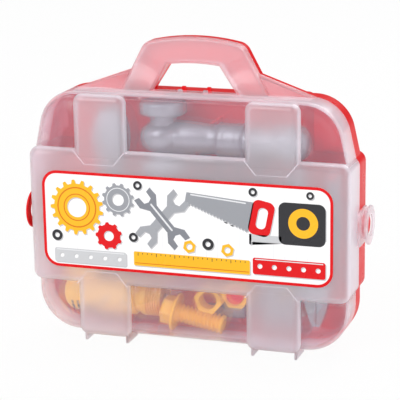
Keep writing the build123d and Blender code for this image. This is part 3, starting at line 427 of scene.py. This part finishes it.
def threaded(bm, radius, depth, pitch, span, steps, matrix, bore=0.0, bore_depth=0.0):
    """Shank along -Z with a rounded thread, and a bore in its end where one is given."""
    rows = int(span / pitch * 8)

    def cut(reach, height, angle):
        run = min(1.0, min(-height, span + height) / (1.2 * pitch))
        wave = 0.5 + 0.5 * math.cos(math.tau * (height / pitch - angle / math.tau))
        if height <= -span + 1e-5 or reach < radius - NEAR:
            return reach
        return reach - depth * max(0.0, run) * (1 - wave) ** 0.8

    profile = [(0, 0), (radius, 0)]
    profile += [(radius, -span * (row + 1) / (rows + 1)) for row in range(rows)]
    profile += [(radius - depth, -span)]
    if bore > 0:
        profile += [(bore, -span), (bore, -span + bore_depth), (0, -span + bore_depth)]
    else:
        profile += [(0, -span)]
    lathe(bm, profile, steps, matrix, cut)


# Outlines of the label's print

# Radii, centres and turns of some motifs, in mm and radians
YELLOW_WHEEL, YELLOW_CENTRE = 25, (-99.5, 11.5)
SILVER_WHEEL, SILVER_CENTRE = 15, (-60.5, 21)
CROSSING, FIRST_TURN, SECOND_TURN = (-20, 6.5), 0.86, 2.28
SAW_CENTRE, SAW_TURN = (37, 20), -0.20
TAPE_CENTRE = (106, 11.5)


def rounded(half, corner, centre=(0, 0), steps=8):
    """Outline of a rectangle with round corners."""
    points = []
    for quarter, (sx, sy) in enumerate(((1, 1), (-1, 1), (-1, -1), (1, -1))):
        for step in range(steps + 1):
            angle = math.pi / 2 * (quarter + step / steps)
            points.append(
                (
                    centre[0] + sx * (half[0] - corner) + corner * math.cos(angle),
                    centre[1] + sy * (half[1] - corner) + corner * math.sin(angle),
                )
            )
    return points


def turned(points, angle, centre):
    """Points turned about the origin and moved to a centre."""
    c, s = math.cos(angle), math.sin(angle)
    return [(centre[0] + x * c - y * s, centre[1] + x * s + y * c) for x, y in points]


def bar(half, corner, centre, angle=0.0):
    """Bar with round corners; sizes and centre in mm."""
    return in_mm(turned(rounded(half, corner), angle, centre))


def disc(radius, centre, count=28):
    """Round print; sizes and centre in mm."""
    return in_mm(turned(ring_points(radius, count), 0, centre))


def cast(outlines):
    """Outlines moved down to the right, for the shade printed under a motif."""
    return [[(x + 0.8 * MM, y - 0.9 * MM) for x, y in outline] for outline in outlines]


def wheel(radius, teeth, centre, bore):
    """Outline of a toothed wheel, and its bore."""
    rim = []
    for tooth in range(teeth):
        for part, reach in ((0.0, 0.86), (0.14, 1.0), (0.42, 1.0), (0.56, 0.86)):
            angle = math.tau * (tooth + part) / teeth
            rim.append((reach * radius * math.cos(angle), reach * radius * math.sin(angle)))
    return [in_mm(turned(rim, 0.1, centre)), disc(bore, centre)]


def amber_rings():
    """Rings printed darker on the yellow wheel, and a fold along the rule."""
    rings = [disc(YELLOW_WHEEL * part, YELLOW_CENTRE, 36) for part in (0.74, 0.69, 0.50, 0.46)]
    return rings + [bar((52, 0.4), 0.3, (6, -35))]


def spanner(reach, head, centre, angle):
    """Outline of a double open spanner."""
    neck = head * 0.42
    side = [
        (-reach, head * 0.45), (-reach - head * 0.1, head * 0.95), (-reach + head * 0.75, head),
        (-reach + head * 1.5, neck), (reach - head * 1.5, neck), (reach - head * 0.75, head),
        (reach + head * 0.1, head * 0.95), (reach, head * 0.45), (reach - head * 0.7, head * 0.4),
        (reach - head * 0.85, 0),
    ]
    other = [(x, -y) for x, y in reversed(side[:-1])]
    inner = [
        (-reach + head * 0.7, -head * 0.4), (-reach + head * 0.85, 0),
        (-reach + head * 0.7, head * 0.4),
    ]
    return [in_mm(turned(side + other + inner, angle, centre))]


def saw_blade():
    """Toothed blade of a hand saw."""
    edge = []
    for tooth in range(20):
        x = -36 + 3 * tooth
        y = -3 - 0.55 * tooth
        edge += [(x, y), (x + 0.6, y - 2)]
    return [in_mm(turned(edge + [(24, -14), (24, 12), (-36, 5)], SAW_TURN, SAW_CENTRE))]


def saw_grip():
    """Grip of the saw, with the hole for the hand."""
    outer = [(x + 33, y) for x, y in rounded((10, 15.5), 6)]
    hole = [(x + 33.5, y) for x, y in rounded((4.4, 9.4), 4)]
    return [in_mm(turned(outline, SAW_TURN, SAW_CENTRE)) for outline in (outer, hole)]


def strip(centre, half, count):
    """Building strip with its holes."""
    prints = [bar(half, 2, centre)]
    for hole in range(count):
        prints.append(disc(2.2, (centre[0] + half[0] * (2 * (hole + 0.5) / count - 1), centre[1])))
    return prints


def washers():
    """Dark washers strewn over the field, and the hook of the tape."""
    prints = [bar((1.0, 4.6), 0.5, (59.5, -5.4))]
    for x, y, radius in (
        (-42, 35, 4), (21.5, -13, 5.2), (-119, -15, 5), (-47, -12, 4.2), (112, 36, 3.4),
        (62, 36, 3.8),
    ):
        prints += [disc(radius, (x, y)), disc(radius * 0.45, (x, y))]
    return prints


def hex_nut(centre):
    """Hexagonal nut seen from above."""
    return [in_mm(turned(ring_points(6, 6), 0.3, centre)), disc(2.8, centre)]


def ticks():
    """Marks along the rule."""
    marks = []
    for index in range(24):
        high = 3.0 if index % 4 == 0 else 1.6
        marks.append(bar((0.3, high / 2), 0.1, (-43 + 4.25 * index, -25.4 - high / 2)))
    return marks


def tape_disc():
    """Round plate of the tape measure."""
    return [disc(13, TAPE_CENTRE, 36), disc(6, TAPE_CENTRE)]


def shine():
    """Pale lines printed along the spanners, the saw and the wheels."""
    lines = [bar((15, 0.8), 0.6, (-20.5, 8), SECOND_TURN), bar((25, 0.6), 0.5, (31, 28), -0.09)]
    lines += [disc(SILVER_WHEEL * part, SILVER_CENTRE, 32) for part in (0.72, 0.67)]
    return lines + [bar((32, 0.4), 0.3, (-88, -28)), bar((30, 0.4), 0.3, (93.5, -23))]


def grid_motif(inner):
    """Faint squared lines behind the motifs."""
    lines = []
    step = 10 * MM
    count = int(inner[0] / step)
    for index in range(-count + 1, count):
        lines.append(rounded((0.18 * MM, inner[1] - 2 * MM), 0.1 * MM, (index * step, 0), 1))
    return lines


# Pieces


class TOOLBOX_OT_stage(Operator):
    """Make the floor, the sky, the lamps and the camera"""

    bl_idname = "toolbox.stage"
    bl_label = "Stage"

    def execute(self, context):
        sizes = context.scene.toolbox_stage
        scene = context.scene
        scene.view_settings.view_transform = "Standard"
        self.camera(scene, sizes)
        self.sky(scene, sizes)
        self.floor()
        lamps = (
            ("lamp_key", (-0.9, -1.5, 1.5), 1.3, 13.0),
            ("lamp_fill", (1.7, -1.1, 0.9), 1.4, 6.0),
            ("lamp_back", (0.5, 1.4, 1.3), 1.2, 6.0),
        )
        for name, place, size, power in lamps:
            self.lamp(name, Vector(place), size, power)
        return {"FINISHED"}

    def camera(self, scene, sizes):
        """Camera turned, raised and rolled about its target."""
        side = (math.sin(sizes.azimuth), -math.cos(sizes.azimuth))
        level = math.cos(sizes.elevation)
        back = Vector((side[0] * level, side[1] * level, math.sin(sizes.elevation)))
        right = Vector((math.cos(sizes.azimuth), math.sin(sizes.azimuth), 0))
        up = back.cross(right)
        turned = right * math.cos(sizes.roll) + up * math.sin(sizes.roll)
        raised = up * math.cos(sizes.roll) - right * math.sin(sizes.roll)
        data = bpy.data.cameras.new("photo_camera")
        data.lens = sizes.lens
        data.sensor_width = 36
        data.clip_end = 20
        camera = bpy.data.objects.new("photo_camera", data)
        matrix = Matrix((turned, raised, back)).transposed().to_4x4()
        matrix.translation = TARGET + back * sizes.distance
        camera.matrix_world = matrix
        scene.collection.objects.link(camera)
        scene.camera = camera

    def sky(self, scene, sizes):
        """White sky, dimmer in reflections than to the camera and through glass."""
        world = bpy.data.worlds.new("studio_sky")
        scene.world = world
        world.use_nodes = True
        tree = world.node_tree
        path = tree.nodes.new("ShaderNodeLightPath")
        last = tree.nodes["Background"]
        last.inputs["Color"].default_value = (1, 1, 1, 1)
        last.inputs["Strength"].default_value = sizes.world_light
        for ray, strength in (
            ("Is Glossy Ray", sizes.mirrored_light), ("Is Transmission Ray", 1.0),
            ("Is Camera Ray", 1.0),
        ):
            light = tree.nodes.new("ShaderNodeBackground")
            light.inputs["Color"].default_value = (1, 1, 1, 1)
            light.inputs["Strength"].default_value = strength
            mix = tree.nodes.new("ShaderNodeMixShader")
            tree.links.new(path.outputs[ray], mix.inputs["Fac"])
            tree.links.new(last.outputs[0], mix.inputs[1])
            tree.links.new(light.outputs[0], mix.inputs[2])
            last = mix
        tree.links.new(last.outputs[0], tree.nodes["World Output"].inputs["Surface"])

    def floor(self):
        """Floor that bounces light up, nearly clear to the camera."""
        material = bpy.data.materials.new("studio_floor")
        material.use_nodes = True
        tree = material.node_tree
        shader = tree.nodes["Principled BSDF"]
        shader.inputs["Roughness"].default_value = 0.8
        shader.inputs["Specular IOR Level"].default_value = 0.1
        shader.inputs["Base Color"].default_value = (0.86, 0.86, 0.86, 1)
        clear = tree.nodes.new("ShaderNodeBsdfTransparent")
        path = tree.nodes.new("ShaderNodeLightPath")
        part = tree.nodes.new("ShaderNodeMath")
        part.operation = "MULTIPLY"
        part.inputs[1].default_value = 0.94
        mix = tree.nodes.new("ShaderNodeMixShader")
        tree.links.new(path.outputs["Is Camera Ray"], part.inputs[0])
        tree.links.new(part.outputs["Value"], mix.inputs["Fac"])
        tree.links.new(shader.outputs["BSDF"], mix.inputs[1])
        tree.links.new(clear.outputs["BSDF"], mix.inputs[2])
        tree.links.new(mix.outputs["Shader"], tree.nodes["Material Output"].inputs["Surface"])
        bm = bmesh.new()
        bmesh.ops.create_grid(bm, x_segments=4, y_segments=4, size=6.0)
        mesh = bpy.data.meshes.new("studio_floor")
        bm.to_mesh(mesh)
        bm.free()
        mesh.materials.append(material)
        floor = bpy.data.objects.new("studio_floor", mesh)
        bpy.context.scene.collection.objects.link(floor)

    def lamp(self, name, place, size, power):
        """Round lamp that aims at the middle of the case."""
        data = bpy.data.lights.new(name, "AREA")
        data.shape = "DISK"
        data.size = size
        data.energy = power
        lamp = bpy.data.objects.new(name, data)
        lamp.location = place
        lamp.rotation_euler = (MIDDLE - place).to_track_quat("-Z", "Y").to_euler()
        bpy.context.scene.collection.objects.link(lamp)


class TOOLBOX_OT_case(Operator):
    """Finish the two shells, the clips and the hinge pins"""

    bl_idname = "toolbox.case"
    bl_label = "Case"

    def execute(self, context):
        finish = context.scene.toolbox_case
        red = plastic(
            "case_red", finish.red, gloss=(0.26, 0.38), drift=0.05, Specular_IOR_Level=0.12
        )
        for node in ("back_shell", "left_clip", "hinge_pins"):
            dress(node, red)
        made = []
        for name, gloss, grain, veil, clearness in (
            ("window_clear", (0.010, 0.025), (500.0, 0.000001), finish.window_veil,
             finish.window_clearness),
            ("rim_hazy", (0.10, 0.18), (900.0, 0.00001), finish.rim_veil, finish.rim_clearness),
            ("frosted_skin", (0.40, 0.50), (2200.0, 0.00004), finish.frost_veil,
             finish.frost_clearness),
            ("frosted_edge", (0.36, 0.46), (2200.0, 0.00003), finish.edge_veil,
             finish.edge_clearness),
            ("frosted_handle", (0.32, 0.42), (2200.0, 0.00003), finish.handle_veil,
             finish.handle_clearness),
        ):
            tint = finish.window if name == "window_clear" else finish.clear
            material = plastic(
                name, tint, gloss=gloss, drift=0.008, grain=grain,
                Transmission_Weight=clearness, Alpha=veil, IOR=1.46, Coat_Weight=0.7,
                Coat_Roughness=0.09,
            )
            let_light_in(material, veil, finish.let_in)
            made.append(material)
        dress("right_clip", made[FROST])
        bm = bmesh.new()
        bm.from_mesh(nodes["front_shell"].data)
        for face in bm.faces:
            spot = face.calc_center_median()
            flat = abs(face.normal.y) > 0.5
            belt_side = abs(spot.x) > BELT_REACH and BELT_LOW < spot.z < BELT_HIGH
            if spot.z > HANDLE_FOOT:
                face.material_index = HANDLE
            elif spot.y < RAISED_DEPTH or spot.z < FEET_TOP or belt_side:
                face.material_index = FROST if flat else EDGE
            else:
                face.material_index = WINDOW if flat else RIM
        piece("front_moulding", bm, "lid", made, 30.0)
        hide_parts("front_shell")
        self.creases(made[EDGE])
        return {"FINISHED"}

    def creases(self, material):
        """Fine raised lines on the belt, where the ends of the pads run into it."""
        bm = bmesh.new()
        face = stand((0, PARTING - 37.95 * MM, 0), FRONT, ACROSS)
        for side in (-1, 1):
            for belt_edge, inward in ((176.4, -12), (55.1, 12)):
                end = belt_edge + inward
                run = [(54.2, belt_edge), (64.2, end), (91.5, end), (101.5, belt_edge)]
                for (x, z), (next_x, next_z) in zip(run, run[1:]):
                    half = math.hypot(next_x - x, next_z - z) / 2 + 0.3
                    angle = math.atan2(next_z - z, side * (next_x - x))
                    centre = (side * (x + next_x) / 2, (z + next_z) / 2)
                    thin = 0.16 if next_z == z else 0.32
                    prism(bm, bar((half, thin), 0.1, centre, angle), 0.18 * MM, face)
        piece("pad_creases", bm, "lid", [material], 30.0)


class TOOLBOX_OT_label(Operator):
    """Make the printed label with its border and its pattern of wheels, strips and spanners"""

    bl_idname = "toolbox.label"
    bl_label = "Label"

    def execute(self, context):
        sizes = context.scene.toolbox_label
        finish = context.scene.toolbox_set
        face = LABEL_BACK - FIELD_THICK
        base = plastic("label_field", sizes.field, gloss=(0.22, 0.30), drift=0.015)
        half = Vector((sizes.width / 2, sizes.height / 2))
        outer = rounded(half, sizes.corner)
        self.sheet("label_sheet_print", [outer], LABEL_BACK, FIELD_THICK, base, sizes)
        inner = half - Vector((sizes.border, sizes.border))
        line = [outer, rounded(inner, sizes.corner - sizes.border)]
        edge = plastic(
            "label_border", sizes.edge, gloss=(0.26, 0.36), drift=0.03, Specular_IOR_Level=0.2
        )
        self.sheet("label_border_print", line, face, 0.06 * MM, edge, sizes)
        silver = wheel(SILVER_WHEEL, 12, SILVER_CENTRE, 5.5) + saw_blade()
        yellow = wheel(YELLOW_WHEEL, 17, YELLOW_CENTRE, 9) + [bar((53, 6.4), 1.2, (6, -31))]
        yellow += hex_nut((4.5, -16.5)) + hex_nut((39, -17))
        red = wheel(12.5, 9, (-70, -12.5), 4.6) + saw_grip() + strip((93.5, -29), (32, 7.4), 5)
        first = spanner(27, 10, CROSSING, FIRST_TURN)
        second = spanner(27, 10, CROSSING, SECOND_TURN)
        dark = [bar((20.5, 18.5), 6, (105, 10.5))] + washers()
        pale = strip((-88, -33), (34, 6.4), 5) + [bar((14, 2.8), 0.6, (73, -4))]
        shade = (0.56, 0.56, 0.58)
        ink_black = (0.035, 0.035, 0.04)
        inks = (
            ("label_grid_print", (0.80, 0.81, 0.83), grid_motif(inner), 0.02),
            ("label_shadow_print", shade, cast(yellow + red + dark + pale), 0.03),
            ("label_far_shadow_print", shade, cast(silver + first), 0.035),
            ("label_silver_print", (0.33, 0.34, 0.37), silver, 0.05),
            ("label_yellow_print", finish.yellow, yellow, 0.05),
            ("label_red_print", sizes.edge, red, 0.05),
            ("label_pale_print", (0.60, 0.61, 0.63), pale, 0.05),
            ("label_dark_print", ink_black, dark, 0.05),
            ("label_spanner_print", (0.38, 0.39, 0.42), first, 0.06),
            ("label_spanner_over_print", (0.24, 0.25, 0.28), second, 0.075),
            ("label_amber_print", (0.72, 0.20, 0.008), amber_rings(), 0.07),
            ("label_tick_print", ink_black, ticks(), 0.07),
            ("label_disc_print", finish.yellow, tape_disc(), 0.07),
            ("label_shine_print", (0.78, 0.79, 0.81), shine(), 0.09),
        )
        for name, tone, outlines, lift in inks:
            ink = plastic(name, tone, gloss=(0.26, 0.36), drift=0.04, Specular_IOR_Level=0.25)
            self.sheet(name, outlines, face, lift * MM, ink, sizes)
        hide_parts("label_sheet")
        return {"FINISHED"}

    def sheet(self, name, outlines, y_back, thick, material, sizes):
        """Flat print of closed outlines, filled but for their holes."""
        curve = bpy.data.curves.new(name, "CURVE")
        curve.dimensions = "2D"
        curve.fill_mode = "BOTH"
        curve.extrude = thick / 2
        for outline in outlines:
            spline = curve.splines.new("POLY")
            spline.points.add(len(outline) - 1)
            for point, (x, y) in zip(spline.points, outline):
                point.co = (x, y, 0, 1)
            spline.use_cyclic_u = True
        draft = bpy.data.objects.new(name + "_draft", curve)
        mesh = bpy.data.meshes.new_from_object(draft)
        bpy.data.objects.remove(draft)
        mesh.transform(stand((0, y_back - thick / 2, sizes.centre_z), FRONT, ACROSS))
        mesh.materials.clear()
        mesh.name = name
        piece(name, mesh, "lid", [material])


class TOOLBOX_OT_tools(Operator):
    """Finish the hammer, drill, screwdriver, pliers and wrench"""

    bl_idname = "toolbox.tools"
    bl_label = "Tools"

    def execute(self, context):
        finish = context.scene.toolbox_set
        yellow = plastic("tool_yellow", finish.yellow, gloss=(0.28, 0.40))
        silver = plastic(
            "tool_silver", finish.silver, gloss=(0.15, 0.24), drift=0.10, Metallic=0.5
        )
        for node in ("hammer_head", "hammer_handle", "drill_trigger", "drill_bit",
                     "screwdriver_handle", "screwdriver_blade", "pliers_fixed_arm",
                     "pliers_moving_arm", "wrench_body", "wrench_jaw"):
            dress(node, silver)
        for node in ("drill_front_half", "drill_back_half", "drill_chuck", "pliers_rivet",
                     "wrench_worm"):
            dress(node, yellow)
        # Near-black bands round the barrel are painted shade: they stand for the shadow inside the
        # vent slits
        dark = plastic("vent_painted_shade", (0.03, 0.03, 0.033), gloss=(0.40, 0.55))
        band = plastic("band_grey", (0.16, 0.17, 0.19), gloss=(0.30, 0.40))
        self.head(silver)
        self.bands(band)
        self.chuck(yellow)
        axis = stand(DRILL_AXIS, ACROSS, FRONT)
        bm = bmesh.new()
        for index in range(6):
            self.vent(bm, axis, -118 + 5 * index)
        piece("drill_vent_shade_bands", bm, "case", [dark], 30.0)
        bm = bmesh.new()
        for x, depth, z in ((-84, -15.5, 35), (-66, -15.5, 35), (-111, -10, 72), (-116, -10, 112)):
            place = stand((x * MM, PARTING + (depth + 0.3) * MM, z * MM), FRONT, ACROSS)
            self.cross_screw(bm, place)
        piece("drill_screws", bm, "case", [silver], 30.0)
        return {"FINISHED"}

    def head(self, material):
        """Hammer head turned in one piece, with a tapering sleeve that holds the handle."""
        half = [
            (0, 32), (18.9, 32), (20.2, 31.2), (20.8, 29.8), (20.8, 22.6), (20.2, 21.2),
            (18.9, 20.4), (13.0, 20.4), (12.0, 19.6), (11.8, 18.4), (11.8, 13.0), (12.4, 11.8),
            (14.6, 11.0), (17.4, 9.4), (19.4, 6.4), (20.4, 3.2),
        ]
        profile = half + [(20.8, 0)] + [(r, -z) for r, z in reversed(half)]
        middle = HAMMER_AXIS - 29 * MM * ACROSS
        faces = bmesh.new()
        lathe(faces, in_mm(profile), 96, stand(middle, UP, ACROSS))
        sleeve = bmesh.new()
        profile = [
            (0, -29), (15.2, -29), (15.2, -8), (14.8, -2), (14.0, 6), (13.2, 14), (12.9, 19),
            (13.3, 20), (13.3, 21.6), (12.9, 22), (8.3, 22), (8.3, 6), (0, 6),
        ]
        lathe(sleeve, in_mm(profile), 72, stand(HAMMER_AXIS, ACROSS, FRONT))
        piece("hammer_head_turned", fused(faces, sleeve), "case", [material], 38.0)
        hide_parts("hammer_head")

    def bands(self, material):
        """Rings round the hammer's ferrule and round the handle behind it."""
        bm = bmesh.new()
        line = stand(HAMMER_AXIS, ACROSS, FRONT)
        for x, inner, outer, half in (
            (23.4, 14.6, 15.3, 1.0), (44.6, 14.6, 15.3, 1.0), (28.6, 14.6, 15.0, 0.5),
            (39.4, 14.6, 15.0, 0.5), (52, 12.6, 13.6, 1.2), (55.6, 12.6, 13.6, 1.2),
        ):
            profile = [
                (inner, x - half), (outer - 0.3, x - half), (outer, x - half * 0.6),
                (outer, x + half * 0.6), (outer - 0.3, x + half), (inner, x + half),
            ]
            lathe(bm, in_mm(profile), 64, line)
        piece("hammer_bands", bm, "case", [material], 30.0)

    def chuck(self, material):
        """Chuck with deep rounded ribs round the end of its collar."""
        bm = bmesh.new()
        profile = [
            (0, -66.7), (6, -66.7), (6, -57.7), (14.5, -57.7), (14.5, -53.7), (16.7, -52.2),
            (17, -51.2), (17, -47.2),
        ]
        for rib in range(5):
            start = -46.5 + 2.2 * rib
            profile += [
                (15.1, start), (15.1, start + 0.45), (16.6, start + 0.8), (17, start + 1.15),
                (17, start + 1.5), (16.7, start + 1.9),
            ]
        profile += [(15.0, -35.2), (14.5, -33.5), (4.2, -33.5), (4.2, -45.0), (0, -45.0)]
        lathe(bm, in_mm(profile), 72, stand(DRILL_AXIS, ACROSS, FRONT))
        piece("chuck_ribbed", bm, "drill_chuck", [material], 40.0)
        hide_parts("drill_chuck")

    def vent(self, bm, axis, x):
        """Thin near-black band of painted shade that stands for the shadow inside a vent slit round a
        part of the drill's barrel.
        """
        rows = []
        for step in range(13):
            angle = 0.25 + 0.9 * step / 12
            row = []
            for radius, along in ((17.4, 0), (17.6, 0), (17.6, 2.2), (17.4, 2.2)):
                spot = Vector((radius * math.cos(angle), radius * math.sin(angle), x + along))
                row.append(bm.verts.new(axis @ (spot * MM)))
            rows.append(row)
        for row, following in zip(rows, rows[1:]):
            for i in range(4):
                j = (i + 1) % 4
                bm.faces.new((row[i], row[j], following[j], following[i]))
        bm.faces.new(rows[0])
        bm.faces.new(list(reversed(rows[-1])))

    def cross_screw(self, bm, place):
        """Domed screw head with a cross in it."""
        dome = [(0, -1.0), (2.8, -1.0), (2.8, 0.1), (2.2, 0.5), (1.2, 0.65), (0, 0.7)]

        def groove(reach, height, angle):
            return reach * (0.72 if abs(math.sin(2 * angle)) < 0.3 and height > 0.3 * MM else 1)

        lathe(bm, in_mm(dome), 32, place, groove)


class TOOLBOX_OT_fasteners(Operator):
    """Make the threaded bolts and screws, and finish the nuts and strips"""

    bl_idname = "toolbox.fasteners"
    bl_label = "Fasteners"

    def execute(self, context):
        finish = context.scene.toolbox_set
        sizes = context.scene.toolbox_threads
        yellow = plastic("bolt_yellow", finish.yellow, gloss=(0.18, 0.28))
        black = plastic("screw_black", finish.black, gloss=(0.26, 0.38))
        dress("ring_nuts", yellow)
        dress("red_strips", plastic("strip_red", finish.red, gloss=(0.22, 0.34)))
        dress("grey_strips", plastic("strip_pale", finish.pale, gloss=(0.25, 0.38)))
        bm = bmesh.new()
        flange, shank, span, ground = 17, 8.7, 44, 10.25
        tilt = math.atan2(flange - shank, span)
        height = (ground + flange * math.cos(tilt)) * MM
        loose = Vector((-17 * MM, PARTING - 10.4 * MM, height))
        places = [stand(loose, (-math.cos(tilt), 0, math.sin(tilt)), (0, 1, 0))]
        for x in (-28, 8, 44):
            places.append(stand((x * MM, PARTING + 4 * MM, 104 * MM), UP, ACROSS))
        for place in places:
            self.bolt(bm, place, sizes)
        piece("bolts_threaded", bm, "case", [yellow], 32.0)
        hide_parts("bolts")
        bm = bmesh.new()
        for x in (5, 22.5, 40, 57.5):
            place = stand((x * MM, PARTING + 2 * MM, 161 * MM), UP, ACROSS)
            self.screw(bm, place, sizes)
        piece("screws_threaded", bm, "case", [black], 32.0)
        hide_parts("slotted_screws")
        return {"FINISHED"}

    def bolt(self, bm, place, sizes):
        """Bolt with a bevelled hexagonal head, a round flange and a threaded shank."""
        flange = [(0, 2.5), (16.2, 2.5), (17.0, 1.9), (17.0, 0.5), (16.4, 0.0), (0, 0.0)]
        lathe(bm, in_mm(reversed(flange)), sizes.steps, place)
        head = place @ Matrix.Translation(2.5 * MM * UP)
        prism(bm, ring_points(13 * MM, 6), 11 * MM, head, rim=1.0 * MM)
        threaded(
            bm, sizes.bolt_radius, sizes.bolt_thread, sizes.bolt_pitch, sizes.bolt_length,
            sizes.steps, place, bore=5.5 * MM, bore_depth=20 * MM,
        )

    def screw(self, bm, place, sizes):
        """Screw with a slotted round head."""
        radius, half_slot, height, steps = 8, 1.2, 4, 20
        low = math.asin(half_slot / radius)
        profile = [(0, 0), (radius, 0), (radius, height), (0, height)]
        lathe(bm, in_mm(profile), sizes.steps, place)
        top = place @ Matrix.Translation(height * MM * UP)
        for side in (1, -1):
            arc = []
            for step in range(steps + 1):
                angle = low + (math.pi - 2 * low) * step / steps
                arc.append((side * radius * math.cos(angle), side * radius * math.sin(angle)))
            prism(bm, in_mm(arc), 3 * MM, top)
        threaded(
            bm, sizes.screw_radius, 0.8 * MM, sizes.screw_pitch, sizes.screw_length,
            steps=32, matrix=place,
        )


class TOOLBOX_PT_sidebar(Panel):
    """Shows the settings of the tool box and the buttons that make its pieces"""

    bl_idname = "TOOLBOX_PT_sidebar"
    bl_label = "Toy Tool Box"
    bl_space_type = "VIEW_3D"
    bl_region_type = "UI"
    bl_category = "Tool Box"

    def draw(self, context):
        for group in PROPERTIES:
            settings = getattr(context.scene, group)
            box = self.layout.box()
            for name in settings.__annotations__:
                box.prop(settings, name)
        for maker in MAKERS:
            self.layout.operator(maker.bl_idname)


PROPERTIES = {
    "toolbox_stage": StageSizes,
    "toolbox_case": CaseFinish,
    "toolbox_set": SetFinish,
    "toolbox_label": LabelSizes,
    "toolbox_threads": ThreadSizes,
}
MAKERS = (
    TOOLBOX_OT_stage,
    TOOLBOX_OT_case,
    TOOLBOX_OT_label,
    TOOLBOX_OT_tools,
    TOOLBOX_OT_fasteners,
)


def register():
    for group in PROPERTIES.values():
        bpy.utils.register_class(group)
    for name, group in PROPERTIES.items():
        setattr(bpy.types.Scene, name, PointerProperty(type=group))
    for maker in (*MAKERS, TOOLBOX_PT_sidebar):
        bpy.utils.register_class(maker)


def unregister():
    for maker in (TOOLBOX_PT_sidebar, *reversed(MAKERS)):
        bpy.utils.unregister_class(maker)
    for name in PROPERTIES:
        delattr(bpy.types.Scene, name)
    for group in reversed(PROPERTIES.values()):
        bpy.utils.unregister_class(group)


def main():
    register()
    bpy.ops.toolbox.stage()
    bpy.ops.toolbox.case()
    bpy.ops.toolbox.label()
    bpy.ops.toolbox.tools()
    bpy.ops.toolbox.fasteners()


if __name__ == "__main__":
    main()
